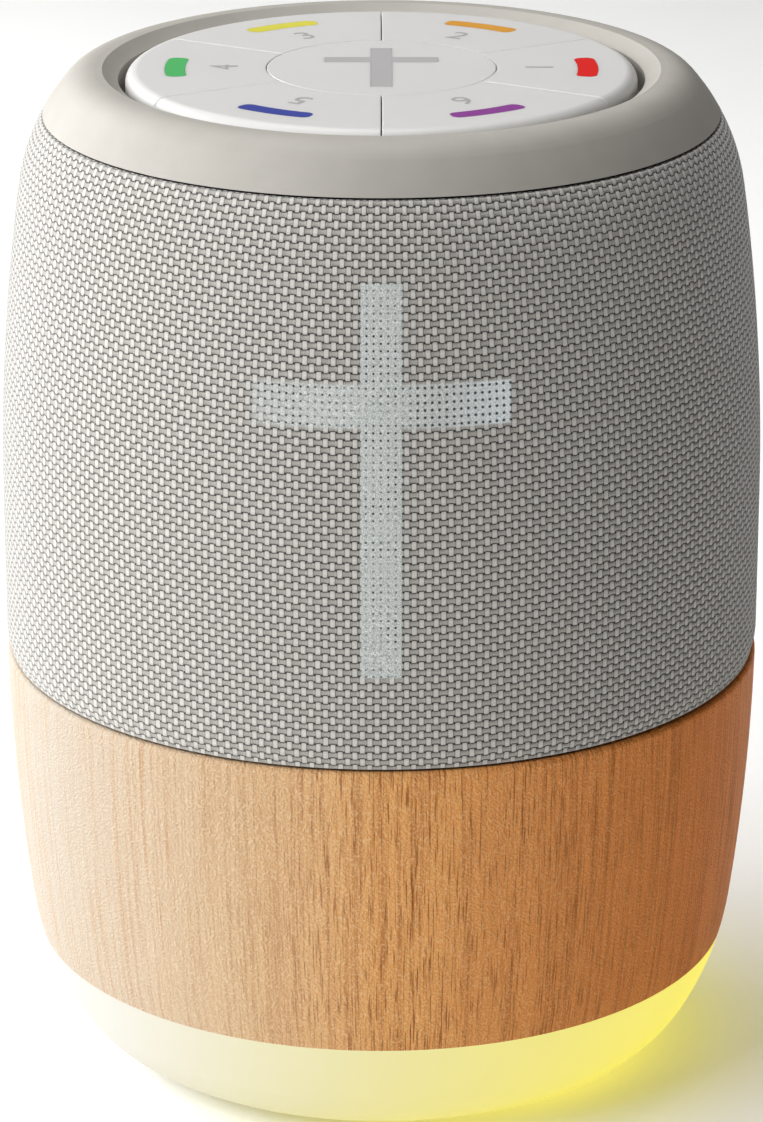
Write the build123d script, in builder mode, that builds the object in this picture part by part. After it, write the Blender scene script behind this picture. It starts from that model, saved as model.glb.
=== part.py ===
from build123d import *
import math
import os

# An audio story player in millimetres: +Z up, the front at -Y, the origin on the floor under its centre.
# Four shells are stacked into a barrel: a lit base, a wood band, a cloth sleeve and a ring with seven keys.

# Body outline: tangent arcs from the underside to the crown, with a short straight waist between them
BODY_RADIUS = 50.0
LIGHT_BASE_HEIGHT = 16.4
WOOD_BAND_HEIGHT = 39.6
RING_HEIGHT = 6.0
BARREL_RADIUS = 285.0
HAUNCH_RADIUS = 37.9
HAUNCH_START_ANGLE = 7.7
HAUNCH_END_ANGLE = 29.6
BASE_CORNER_RADIUS = 14.4
SHOULDER_RADIUS = 25.9
SHOULDER_START_ANGLE = 8.4
SHOULDER_END_ANGLE = 41.4
CROWN_RADIUS = 5.0

# Fits shared by the whole body
SEAM = 0.3
SHELL_FIT = 0.3
GLUE_LINE = 0.05
CHORDS = 5

# Screws, all of one kind apart from their length
SCREW_RADIUS = 1.0
SCREW_HEAD_RADIUS = 1.9
SCREW_HEAD = 1.4
SCREW_RECESS_LENGTH = 2.2
SCREW_RECESS_WIDTH = 0.5
SCREW_RECESS_DEPTH = 0.8
SCREW_FIT = 0.1
SCREW_BITE = 8.0

# Base: bowl, plate, foot and the ring of lights
FOOT_PROUD = 0.6
FOOT_GROOVE = 0.9
FOOT_WIDTH = 4.0
FOOT_INSET = 2.0
FOOT_FIT = 0.1
BOWL_WALL = 2.4
BOWL_FLOOR = 3.2
BOWL_LAND = 3.0
BOWL_LEDGE = 1.6
PLATE_THICKNESS = 2.0
PLATE_FIT = 0.2
PLATE_BOSS = 2.0
BASE_SCREW_COUNT = 3
BASE_SCREW_INSET = 4.8
POST_RADIUS = 3.4
LIGHT_BOARD_WIDTH = 12.0
LIGHT_BOARD_INSET = 3.0
LIGHT_COUNT = 12

# Wood band and the tub inside it
WOOD_WALL = 2.6
WOOD_EDGE = 0.8
TUB_WALL = 2.2
TUB_FLOOR = 2.2
TUB_FLANGE = 1.8
TUB_FLANGE_REACH = 2.7
TUB_POST_INSET = 2.4
TUB_POST_GAP = 2.7
BAFFLE_THICKNESS = 2.5
BAFFLE_SHELF = 2.0

# Circuit boards and their light diodes
BOARD_THICKNESS = 1.6
BOARD_FIT = 0.1
PIN_RADIUS = 1.0
PIN_HEAD_RADIUS = 1.7
PIN_HEAD = 0.7
DIODE_LENGTH = 3.5
DIODE_WIDTH = 2.8
DIODE_HEIGHT = 1.4

# Battery at the front of the tub, main board and charging socket at the back
BATTERY_WIDTH = 40.0
BATTERY_HEIGHT = 26.0
BATTERY_THICKNESS = 9.0
BATTERY_ROUND = 2.5
MAIN_BOARD_WIDTH = 38.0
MAIN_BOARD_HEIGHT = 26.0
CRADLE_WALL = 1.5
CRADLE_HEIGHT = 12.0
CRADLE_GRIP = 3.0
WALL_GAP = 0.6
CHIP_SIZE = 7.0
CHIP_HEIGHT = 1.0
CHIP_SPACING = 10.5
COIL_SIZE = 6.0
COIL_HEIGHT = 3.0
PORT_HEIGHT = 13.0
SOCKET_WIDTH = 8.94
SOCKET_HEIGHT = 3.26
SOCKET_WALL = 0.3
SOCKET_DEPTH = 6.2
SOCKET_PROUD = 1.2
SOCKET_FIT = 0.3
TONGUE_WIDTH = 6.7
TONGUE_HEIGHT = 0.7
TONGUE_DEPTH = 4.5
PLUG_ROOM_WIDTH = 12.8
PLUG_ROOM_HEIGHT = 7.0

# Leads and the flat cable inside the body
LEAD_RADIUS = 0.6
LEAD_SPACING = 3.0
LEAD_BEND = 2.4
LEAD_STRAIGHT = 5.0
LEAD_HOLE_FIT = 1.2
BATTERY_LEAD_X = 13.0
BATTERY_LEAD_HEIGHT = 8.0
BATTERY_LEAD_DIP = 6.5
SPEAKER_LEAD_X = -8.0
SPEAKER_LEAD_DROP = 5.0
LIGHT_LEAD_X = -12.5
LIGHT_LEAD_HEIGHT = 4.0
CABLE_WIDTH = 9.0
CABLE_THICKNESS = 0.4
CABLE_SLOT_FIT = 0.6
CABLE_BEND = 6.0
CABLE_LEAN_LOW = 20.0
CABLE_LEAN_HIGH = 8.0
CABLE_INSET = 6.0

# Speaker driver, fired upwards into the cloth cage
DRIVER_CLEAR = 3.5
DRIVER_LIP = 4.6
DRIVER_PLATE = 1.2
DRIVER_DEPTH = 14.0
DRIVER_HOLE_FIT = 0.6
DRIVER_SCREW_COUNT = 4
DRIVER_SCREW_INSET = 2.3
GASKET = 0.6
BASKET_WALL = 1.2
BASKET_NECK_HEIGHT = 4.8
BASKET_NECK_WALL = 2.4
BASKET_WINDOW = 12.0
BASKET_WINDOW_SHARE = 0.6
MAGNET_RADIUS = 18.0
MAGNET_THICKNESS = 7.0
POLE_PLATE = 3.0
COIL_RADIUS = 8.5
COIL_WALL = 0.5
COIL_GAP = 0.5
COIL_DIP = 6.0
CONE_WALL = 0.6
CONE_GLUE = 1.5
CONE_NECK_DROP = 8.0
SURROUND_WIDTH = 6.0
SURROUND_SKIN = 0.5
SURROUND_RIM = 1.8
SPIDER_SKIN = 0.4
DUST_CAP_RADIUS = 10.5
DUST_CAP_RISE = 2.0
DUST_CAP_SKIN = 0.4

# Cloth sleeve and the cage behind it
CLOTH_THICKNESS = 0.9
CLOTH_GAP = 0.3
FRAME_WALL = 2.2
FRAME_FOOT = 2.5
FRAME_FOOT_INSET = 0.5
EAR_RADIUS = 3.6
WINDOW_COUNT = 16
WINDOW_WIDTH = 11.0
WINDOW_MARGIN = 8.0
HOOP_HEIGHT = 4.0
FRONT_PANEL_ANGLE = 60.0

# Lit cross at the front
CROSS_RISE = 12.7
CROSS_LENGTH = 49.7
CROSS_SPAN = 31.4
CROSS_POST_WIDTH = 5.0
CROSS_BAR_HEIGHT = 5.8
CROSS_BAR_DROP = 15.0
GUIDE_FIT = 0.15
GUIDE_FLANGE = 1.2
GUIDE_MARGIN = 1.5
CROSS_BOARD_WIDTH = 30.0
CROSS_BOARD_MARGIN = 2.0
CROSS_BOARD_GAP = 1.0
CROSS_SKIRT_GAP = 0.7
CROSS_PEG_INSET = 3.2
CROSS_PEG_RADIUS = 2.2
CROSS_DIODE_SPACING = 9.0

# Top ring and key deck
RING_LAND = 3.1
RING_SLOPE_WIDTH = 2.0
RING_SLOPE_DROP = 1.3
SKIRT_WALL = 1.6
SKIRT_DEPTH = 7.0
LUG_COUNT = 4
LUG_WIDTH = 8.0
LUG_HEIGHT = 2.0
LUG_PROUD = 0.9
LUG_DROP = 4.0
LUG_FIT = 0.2
DECK_THICKNESS = 1.6
DECK_SCREW_COUNT = 4
DECK_SCREW_BITE = 3.0

# Keys
KEY_COUNT = 6
KEY_MOAT = 0.95
KEY_GAP = 0.15
KEY_SINK = 0.2
KEY_HEIGHT = 3.6
KEY_CAP = 2.0
KEY_WALL = 1.4
KEY_ROUND = 1.6
KEY_BEVEL = 0.1
KEY_TRAVEL = 0.8
KEY_STOP_CLEAR = 0.3
CENTRE_KEY_RADIUS = 14.75
STEM_RADIUS = 2.0
STEM_FIT = 0.3
LEG_WIDTH = 3.0
LEG_THICKNESS = 1.4
LEG_INSET = 4.2
LEG_ANGLE = 17.0
LEG_FIT = 0.25
BARB_REACH = 0.8
BARB_LENGTH = 1.6
BARB_GAP = 0.1
CENTRE_LEG_COUNT = 3
CENTRE_LEG_RADIUS = 10.0

# Inlays in the keys
INLAY_DEPTH = 0.6
INLAY_FIT = 0.03
MARK_INSET = 6.4
MARK_WIDTH = 2.6
MARK_SPAN_ANGLE = 22.0
MARK_ROUND = 1.0
BADGE_SPAN = 14.6
BADGE_LENGTH = 20.8
BADGE_STROKE = 2.7
BADGE_BAR_DROP = 6.3

# Push switches under the keys
SWITCH_SIZE = 6.2
SWITCH_HEIGHT = 3.4
PLUNGER_RADIUS = 1.7
PLUNGER_PROUD = 1.0
PLUNGER_ROOT = 0.4
PLUNGER_FIT = 0.15
PLUNGER_BELOW_DECK = 0.4
KEY_BOARD_MARGIN = 4.0
KEY_PEG_COUNT = 3
KEY_PEG_RADIUS = 2.4
KEY_PEG_SPACING = 3.2

# Levels of the stack: the cloth is as tall as the cross, its board and the ring's skirt ask
base_z = FOOT_PROUD
light_z = base_z + LIGHT_BASE_HEIGHT
wood_z = light_z + WOOD_BAND_HEIGHT
cross_low_z = wood_z + CROSS_RISE
cross_top_z = cross_low_z + CROSS_LENGTH
cross_board_low = cross_low_z - CROSS_BOARD_MARGIN
cross_board_high = cross_top_z + CROSS_BOARD_MARGIN
ring_z = cross_board_high + CROSS_SKIRT_GAP + SKIRT_DEPTH
cloth_z = ring_z - SEAM
top_z = cloth_z + RING_HEIGHT

ABOVE = (Align.CENTER, Align.CENTER, Align.MIN)
BELOW = (Align.CENTER, Align.CENTER, Align.MAX)


def polar(radius, angle):
    """The point at a radius and an angle in degrees from +X."""
    return (radius * math.cos(math.radians(angle)), radius * math.sin(math.radians(angle)))


def step_out(centre, distance, angle):
    """The centre of the next arc of a tangent chain, moved along the shared normal."""
    shift = polar(distance, angle)
    return (centre[0] + shift[0], centre[1] + shift[1])


# The outline's arc centres: down from the waist to the base, and up from the waist to the crown
lower_height = (
    BASE_CORNER_RADIUS
    + (BARREL_RADIUS - HAUNCH_RADIUS) * math.sin(math.radians(HAUNCH_START_ANGLE))
    + (HAUNCH_RADIUS - BASE_CORNER_RADIUS) * math.sin(math.radians(HAUNCH_END_ANGLE))
)
upper_height = (
    CROWN_RADIUS
    + (BARREL_RADIUS - SHOULDER_RADIUS) * math.sin(math.radians(SHOULDER_START_ANGLE))
    + (SHOULDER_RADIUS - CROWN_RADIUS) * math.sin(math.radians(SHOULDER_END_ANGLE))
)
waist_low = (BODY_RADIUS - BARREL_RADIUS, base_z + lower_height)
waist_high = (BODY_RADIUS - BARREL_RADIUS, top_z - upper_height)
haunch = step_out(waist_low, BARREL_RADIUS - HAUNCH_RADIUS, -HAUNCH_START_ANGLE)
corner = step_out(haunch, HAUNCH_RADIUS - BASE_CORNER_RADIUS, -HAUNCH_END_ANGLE)
shoulder = step_out(waist_high, BARREL_RADIUS - SHOULDER_RADIUS, SHOULDER_START_ANGLE)
crown = step_out(shoulder, SHOULDER_RADIUS - CROWN_RADIUS, SHOULDER_END_ANGLE)
OUTLINE = [
    (corner, BASE_CORNER_RADIUS, -90.0, -HAUNCH_END_ANGLE),
    (haunch, HAUNCH_RADIUS, -HAUNCH_END_ANGLE, -HAUNCH_START_ANGLE),
    (waist_low, BARREL_RADIUS, -HAUNCH_START_ANGLE, 0.0),
    (waist_high, BARREL_RADIUS, 0.0, SHOULDER_START_ANGLE),
    (shoulder, SHOULDER_RADIUS, SHOULDER_START_ANGLE, SHOULDER_END_ANGLE),
    (crown, CROWN_RADIUS, SHOULDER_END_ANGLE, 90.0),
]


def outline_radius(z, inset=0.0):
    """The body's radius at a height, measured to the outline moved in by an inset."""
    for (centre_r, centre_z), arc, start, end in OUTLINE:
        radius = arc - inset
        low = centre_z + radius * math.sin(math.radians(start))
        high = centre_z + radius * math.sin(math.radians(end))
        if low <= z <= high:
            return centre_r + math.sqrt(radius**2 - (z - centre_z) ** 2)
    return BODY_RADIUS - inset


def outline_arcs(z_low, z_high):
    """Draw the outline's arcs and waist between two heights, and give the line's lower and upper end."""
    drawn = []
    for centre, arc, start, end in OUTLINE:
        low = math.degrees(math.asin(max(-1.0, min(1.0, (z_low - centre[1]) / arc))))
        high = math.degrees(math.asin(max(-1.0, min(1.0, (z_high - centre[1]) / arc))))
        first = max(start, low)
        last = min(end, high)
        if last > first:
            drawn.append(CenterArc(centre, arc, first, last - first))
    waist_from = max(z_low, waist_low[1])
    waist_to = min(z_high, waist_high[1])
    if waist_to > waist_from:
        drawn.append(Line((BODY_RADIUS, waist_from), (BODY_RADIUS, waist_to)))
    ends = [piece @ side for piece in drawn for side in (0, 1)]
    return min(ends, key=lambda point: point.Y), max(ends, key=lambda point: point.Y)


def chord_points(z_low, z_high, inset):
    """Points of the inset outline that straight shells behind the cloth are drawn through."""
    levels = [z_low + (z_high - z_low) * step / CHORDS for step in range(CHORDS + 1)]
    return [(outline_radius(z, inset), z) for z in levels]


def half_chord(radius, half_width):
    """How far from the axis a flat piece of a half width fits inside a circle."""
    return math.sqrt(radius**2 - half_width**2)


def facing_down(z):
    """A level plane that looks down, with x kept, for holes drilled from below."""
    return Plane(origin=(0, 0, z), x_dir=(1, 0, 0), z_dir=(0, 0, -1))


def radial_plane(radius, angle):
    """An upright plane through a point at a radius, with x outwards and y up."""
    x, y = polar(radius, angle)
    return Plane(origin=(x, y, 0), x_dir=(*polar(1, angle), 0), z_dir=(*polar(1, angle - 90), 0))


def cross_outline(span, length, post, bar, drop, bottom):
    """Draw a plain cross: an upright and a bar whose middle lies a drop below its top."""
    top = bottom + length
    bar_top = top - drop + bar / 2
    bar_low = bar_top - bar
    right = [(post / 2, bottom), (post / 2, bar_low), (span / 2, bar_low)]
    right += [(span / 2, bar_top), (post / 2, bar_top), (post / 2, top)]
    left = [(-x, y) for x, y in reversed(right)]
    Polyline(*right, *left, close=True)


os.makedirs("parts", exist_ok=True)


def save(piece, name):
    """Label a finished piece and write its file."""
    piece.label = name
    export_step(piece, f"parts/{name}.step")


# Radii and levels that several pieces share
flat_radius = corner[0]
plate_radius = flat_radius - BOWL_LAND
foot_outer = plate_radius - FOOT_INSET
foot_inner = foot_outer - FOOT_WIDTH
base_screw_circle = foot_inner - BASE_SCREW_INSET
plate_top = base_z + PLATE_THICKNESS
boss_top = plate_top + PLATE_BOSS
wood_bore = outline_radius(light_z) - WOOD_WALL
tub_outer = wood_bore - SHELL_FIT
tub_inner = tub_outer - TUB_WALL
tub_floor = light_z + TUB_FLOOR
shelf_z = wood_z - BAFFLE_THICKNESS
flange_z = shelf_z - TUB_FLANGE
flange_radius = tub_outer + TUB_FLANGE_REACH
baffle_radius = tub_inner + BAFFLE_SHELF
post_circle = tub_inner - TUB_POST_INSET
post_x = BATTERY_WIDTH / 2 + CRADLE_WALL + TUB_POST_GAP + POST_RADIUS
post_y = half_chord(post_circle, post_x)
port_z = tub_floor + PORT_HEIGHT
light_board_inner = base_screw_circle + POST_RADIUS + LIGHT_BOARD_INSET
light_board_outer = light_board_inner + LIGHT_BOARD_WIDTH
light_board_middle = (light_board_inner + light_board_outer) / 2
light_pin_start = 180.0 / LIGHT_COUNT

# Light base: a frosted bowl whose open floor takes the base plate from below
bowl_knee_z = base_z + BASE_CORNER_RADIUS * (1 - math.sin(math.radians(HAUNCH_END_ANGLE)))
with BuildPart() as light_base:
    with BuildSketch(Plane.XZ):
        with BuildLine():
            low_end, high_end = outline_arcs(base_z, light_z)
            Polyline(
                high_end,
                (outline_radius(light_z) - BOWL_WALL, light_z),
                (outline_radius(bowl_knee_z) - BOWL_WALL, bowl_knee_z),
                (flat_radius + BOWL_WALL, base_z + BOWL_FLOOR),
                (plate_radius - BOWL_LEDGE, base_z + BOWL_FLOOR),
                (plate_radius - BOWL_LEDGE, plate_top),
                (plate_radius, plate_top),
                (plate_radius, base_z),
                low_end,
            )
        make_face()
    revolve(axis=Axis.Z)
save(light_base.part, "light_base")

# Base plate: closes the bowl, with a groove for the foot and counterbored screw bosses
with BuildPart() as base_plate:
    with BuildSketch(Plane.XY.offset(base_z)):
        Circle(plate_radius - PLATE_FIT)
    extrude(amount=PLATE_THICKNESS)
    with BuildSketch(Plane.XY.offset(plate_top)):
        with PolarLocations(base_screw_circle, BASE_SCREW_COUNT, 90):
            Circle(POST_RADIUS)
    extrude(amount=PLATE_BOSS)
    with BuildSketch(Plane.XY.offset(base_z)):
        Circle(foot_outer + FOOT_FIT)
        Circle(foot_inner - FOOT_FIT, mode=Mode.SUBTRACT)
    extrude(amount=FOOT_GROOVE, mode=Mode.SUBTRACT)
    with Locations(facing_down(base_z)):
        with PolarLocations(base_screw_circle, BASE_SCREW_COUNT, -90):
            CounterBoreHole(
                radius=SCREW_RADIUS + SCREW_FIT,
                counter_bore_radius=SCREW_HEAD_RADIUS + SCREW_FIT,
                counter_bore_depth=PLATE_THICKNESS,
            )
save(base_plate.part, "base_plate")

# Foot ring: rubber, held in the plate's groove and standing proud of the bowl
with BuildPart() as foot_ring:
    with BuildSketch():
        Circle(foot_outer)
        Circle(foot_inner, mode=Mode.SUBTRACT)
    extrude(amount=FOOT_PROUD + FOOT_GROOVE)
    chamfer(foot_ring.faces().sort_by(Axis.Z)[0].edges(), FOOT_PROUD / 2)
save(foot_ring.part, "foot_ring")

# Base screws: up through the plate's bosses into the tub's posts, with a cross recess in each head
with BuildPart() as base_screws:
    with Locations((0, 0, plate_top)):
        with PolarLocations(base_screw_circle, BASE_SCREW_COUNT, 90):
            Cylinder(SCREW_HEAD_RADIUS, SCREW_HEAD, align=BELOW)
            Cylinder(SCREW_RADIUS, PLATE_BOSS + SCREW_BITE, align=ABOVE)
    with Locations((0, 0, plate_top - SCREW_HEAD)):
        with PolarLocations(base_screw_circle, BASE_SCREW_COUNT, 90):
            Box(SCREW_RECESS_LENGTH, SCREW_RECESS_WIDTH, 2 * SCREW_RECESS_DEPTH, mode=Mode.SUBTRACT)
            Box(SCREW_RECESS_WIDTH, SCREW_RECESS_LENGTH, 2 * SCREW_RECESS_DEPTH, mode=Mode.SUBTRACT)
save(base_screws.part, "base_screws")

# Wood band: a turned ring with a straight bore, a rebate for the tub and a slot for the charging plug
with BuildPart() as wood_band:
    with BuildSketch(Plane.XZ) as band_section:
        with BuildLine():
            low_end, high_end = outline_arcs(light_z, wood_z)
            Polyline(
                high_end,
                (flange_radius + SHELL_FIT, wood_z),
                (flange_radius + SHELL_FIT, flange_z),
                (wood_bore, flange_z),
                (wood_bore, light_z),
                low_end,
            )
        make_face()
        fillet(band_section.vertices().group_by(Axis.Z)[-1].sort_by(Axis.X)[-1], WOOD_EDGE)
    revolve(axis=Axis.Z)
    with BuildSketch(Plane.XZ):
        with Locations((0, port_z)):
            SlotOverall(PLUG_ROOM_WIDTH, PLUG_ROOM_HEIGHT)
    extrude(amount=-2 * BODY_RADIUS, mode=Mode.SUBTRACT)
save(wood_band.part, "wood_band")

# Core tub: the carrier of the lower half, hung by its flange in the wood and screwed to the base plate
board_face_y = half_chord(tub_inner, MAIN_BOARD_WIDTH / 2) - WALL_GAP
battery_face_y = half_chord(tub_inner, BATTERY_WIDTH / 2) - WALL_GAP
board_inner_y = board_face_y - BOARD_THICKNESS
board_middle_y = board_face_y - BOARD_THICKNESS / 2
board_top_z = tub_floor + MAIN_BOARD_HEIGHT
battery_inner_y = BATTERY_THICKNESS - battery_face_y
light_lead_y = board_inner_y - LEAD_STRAIGHT
with BuildPart() as core_tub:
    with BuildSketch(Plane.XZ):
        with BuildLine():
            Polyline(
                (0, light_z),
                (tub_outer, light_z),
                (tub_outer, flange_z),
                (flange_radius, flange_z),
                (flange_radius, wood_z),
                (baffle_radius + SHELL_FIT, wood_z),
                (baffle_radius + SHELL_FIT, shelf_z),
                (tub_inner, shelf_z),
                (tub_inner, tub_floor),
                (0, tub_floor),
                close=True,
            )
        make_face()
    revolve(axis=Axis.Z)
    # Posts for the cage screws, grown into the wall
    with BuildSketch(Plane.XY.offset(tub_floor)):
        with GridLocations(2 * post_x, 2 * post_y, 2, 2):
            Circle(POST_RADIUS)
    extrude(amount=shelf_z - tub_floor)
    # Posts for the base screws, under the floor
    with BuildSketch(Plane.XY.offset(light_z)):
        with PolarLocations(base_screw_circle, BASE_SCREW_COUNT, 90):
            Circle(POST_RADIUS)
    extrude(amount=boss_top - light_z)
    # Cradles that grip both ends of the battery and of the main board
    with BuildSketch(Plane.XY.offset(tub_floor)):
        with Locations((0, board_middle_y)):
            Rectangle(MAIN_BOARD_WIDTH + 2 * CRADLE_WALL, BOARD_THICKNESS + 2 * CRADLE_WALL)
            Rectangle(MAIN_BOARD_WIDTH - 2 * CRADLE_GRIP, 2 * BODY_RADIUS, mode=Mode.SUBTRACT)
        with Locations((0, BATTERY_THICKNESS / 2 - battery_face_y)):
            Rectangle(BATTERY_WIDTH + 2 * CRADLE_WALL, BATTERY_THICKNESS + 2 * CRADLE_WALL)
            Rectangle(
                BATTERY_WIDTH - 2 * CRADLE_GRIP,
                BATTERY_THICKNESS + 4 * CRADLE_WALL,
                mode=Mode.SUBTRACT,
            )
    extrude(amount=CRADLE_HEIGHT)
    with BuildSketch(Plane.XY.offset(tub_floor)):
        with Locations((0, board_middle_y)):
            Rectangle(MAIN_BOARD_WIDTH + 2 * BOARD_FIT, BOARD_THICKNESS + 2 * BOARD_FIT)
        with Locations((0, BATTERY_THICKNESS / 2 - battery_face_y)):
            Rectangle(BATTERY_WIDTH + 2 * BOARD_FIT, BATTERY_THICKNESS + 2 * BOARD_FIT)
    extrude(amount=CRADLE_HEIGHT, mode=Mode.SUBTRACT)
    # Pins that hold the ring of lights, flattened under it
    with BuildSketch(Plane.XY.offset(light_z)):
        with PolarLocations(light_board_middle, BASE_SCREW_COUNT, light_pin_start):
            Circle(PIN_RADIUS)
    extrude(amount=-BOARD_THICKNESS)
    with BuildSketch(Plane.XY.offset(light_z - BOARD_THICKNESS)):
        with PolarLocations(light_board_middle, BASE_SCREW_COUNT, light_pin_start):
            Circle(PIN_HEAD_RADIUS)
    extrude(amount=-PIN_HEAD)
    # Screw holes, the lights' lead hole and the socket's slot
    with Locations((0, 0, shelf_z)):
        with GridLocations(2 * post_x, 2 * post_y, 2, 2):
            Hole(SCREW_RADIUS + SCREW_FIT, SCREW_BITE + SCREW_FIT)
    with Locations(facing_down(boss_top)):
        with PolarLocations(base_screw_circle, BASE_SCREW_COUNT, -90):
            Hole(SCREW_RADIUS + SCREW_FIT, SCREW_BITE + SCREW_FIT)
    with Locations((LIGHT_LEAD_X, light_lead_y, tub_floor)):
        Hole(LEAD_SPACING / 2 + LEAD_RADIUS + LEAD_HOLE_FIT, TUB_FLOOR)
    with BuildSketch(Plane.XZ):
        with Locations((0, port_z)):
            SlotOverall(SOCKET_WIDTH + 2 * SOCKET_FIT, SOCKET_HEIGHT + 2 * SOCKET_FIT)
    extrude(amount=-2 * BODY_RADIUS, mode=Mode.SUBTRACT)
save(core_tub.part, "core_tub")

# Ring of lights: an annular board under the tub with its diodes facing down into the bowl
with BuildPart() as light_ring_board:
    with BuildSketch(Plane.XY.offset(light_z)):
        Circle(light_board_outer)
        Circle(light_board_inner, mode=Mode.SUBTRACT)
        with PolarLocations(light_board_middle, BASE_SCREW_COUNT, light_pin_start):
            Circle(PIN_RADIUS + BOARD_FIT, mode=Mode.SUBTRACT)
    extrude(amount=-BOARD_THICKNESS)
save(light_ring_board.part, "light_ring_board")

with BuildPart(Plane.XY.offset(light_z - BOARD_THICKNESS)) as base_lights:
    with PolarLocations(light_board_middle, LIGHT_COUNT):
        Box(DIODE_LENGTH, DIODE_WIDTH, DIODE_HEIGHT, align=BELOW)
save(base_lights.part, "base_lights")

# Battery: a flat pouch cell standing in its cradle
with BuildPart() as battery_pack:
    with BuildSketch(Plane.XY.offset(tub_floor)):
        with Locations((0, BATTERY_THICKNESS / 2 - battery_face_y)):
            RectangleRounded(BATTERY_WIDTH, BATTERY_THICKNESS, BATTERY_ROUND)
    extrude(amount=BATTERY_HEIGHT)
save(battery_pack.part, "battery_pack")

# Main board, its chips and a power coil on the inner face
with BuildPart() as main_board:
    with BuildSketch(Plane.XY.offset(tub_floor)):
        with Locations((0, board_middle_y)):
            Rectangle(MAIN_BOARD_WIDTH, BOARD_THICKNESS)
    extrude(amount=MAIN_BOARD_HEIGHT)
save(main_board.part, "main_board")

chip_plane = Plane.XZ.offset(-board_inner_y)
with BuildPart() as board_chips:
    with BuildSketch(chip_plane):
        with Locations((0, port_z)):
            with GridLocations(CHIP_SPACING, CHIP_SPACING, 2, 1):
                Rectangle(CHIP_SIZE, CHIP_SIZE)
    extrude(amount=CHIP_HEIGHT)
    with BuildSketch(chip_plane):
        with Locations((0, port_z + CHIP_SPACING - CHIP_SIZE / 4)):
            Rectangle(COIL_SIZE, COIL_SIZE)
    extrude(amount=COIL_HEIGHT)
save(board_chips.part, "board_chips")

# Charging socket: a pressed steel mouth with the contact tongue inside, standing on the board's back face
socket_mouth_y = tub_outer + SOCKET_PROUD
mouth_plane = Plane.XZ.offset(-socket_mouth_y)
with BuildPart() as charge_socket:
    with BuildSketch(mouth_plane):
        with Locations((0, port_z)):
            SlotOverall(SOCKET_WIDTH, SOCKET_HEIGHT)
    extrude(amount=socket_mouth_y - board_face_y)
    with BuildSketch(mouth_plane):
        with Locations((0, port_z)):
            SlotOverall(SOCKET_WIDTH - 2 * SOCKET_WALL, SOCKET_HEIGHT - 2 * SOCKET_WALL)
    extrude(amount=SOCKET_DEPTH, mode=Mode.SUBTRACT)
    with BuildSketch(Plane.XZ.offset(SOCKET_DEPTH - socket_mouth_y)):
        with Locations((0, port_z)):
            Rectangle(TONGUE_WIDTH, TONGUE_HEIGHT)
    extrude(amount=-TONGUE_DEPTH)
save(charge_socket.part, "charge_socket")

# Driver radii and levels, the largest driver that fits inside the cage screws
driver_radius = post_circle - POST_RADIUS - DRIVER_CLEAR
driver_hole = driver_radius - DRIVER_LIP
driver_screw_circle = driver_radius - DRIVER_SCREW_INSET
driver_z = wood_z + GASKET
plate_face_z = driver_z + DRIVER_PLATE
basket_radius = driver_hole - DRIVER_HOLE_FIT
neck_radius = MAGNET_RADIUS
basket_floor_z = driver_z - DRIVER_DEPTH
spider_z = basket_floor_z + BASKET_NECK_HEIGHT
pole_top_z = basket_floor_z
pole_plate_z = pole_top_z - POLE_PLATE
yoke_z = pole_plate_z - MAGNET_THICKNESS
coil_bore = COIL_RADIUS + COIL_GAP
coil_inner = COIL_RADIUS - COIL_WALL
cone_rim = basket_radius - BASKET_WALL - SURROUND_WIDTH
cone_neck_z = plate_face_z - CONE_NECK_DROP

# Baffle: the flat disc that closes the tub and carries the driver
with BuildPart() as baffle:
    with BuildSketch(Plane.XY.offset(shelf_z)):
        Circle(baffle_radius)
        Circle(driver_hole, mode=Mode.SUBTRACT)
        with GridLocations(2 * post_x, 2 * post_y, 2, 2):
            Circle(SCREW_RADIUS + SCREW_FIT, mode=Mode.SUBTRACT)
        with PolarLocations(driver_screw_circle, DRIVER_SCREW_COUNT):
            Circle(SCREW_RADIUS + SCREW_FIT, mode=Mode.SUBTRACT)
        with Locations((0, board_middle_y)):
            Rectangle(
                CABLE_WIDTH + 2 * CABLE_SLOT_FIT,
                CABLE_THICKNESS + 2 * CABLE_SLOT_FIT,
                mode=Mode.SUBTRACT,
            )
    extrude(amount=BAFFLE_THICKNESS)
save(baffle.part, "baffle")

with BuildPart() as driver_gasket:
    with BuildSketch(Plane.XY.offset(wood_z)):
        Circle(driver_radius)
        Circle(driver_hole, mode=Mode.SUBTRACT)
        with PolarLocations(driver_screw_circle, DRIVER_SCREW_COUNT):
            Circle(SCREW_RADIUS + SCREW_FIT, mode=Mode.SUBTRACT)
    extrude(amount=GASKET)
save(driver_gasket.part, "driver_gasket")

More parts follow.
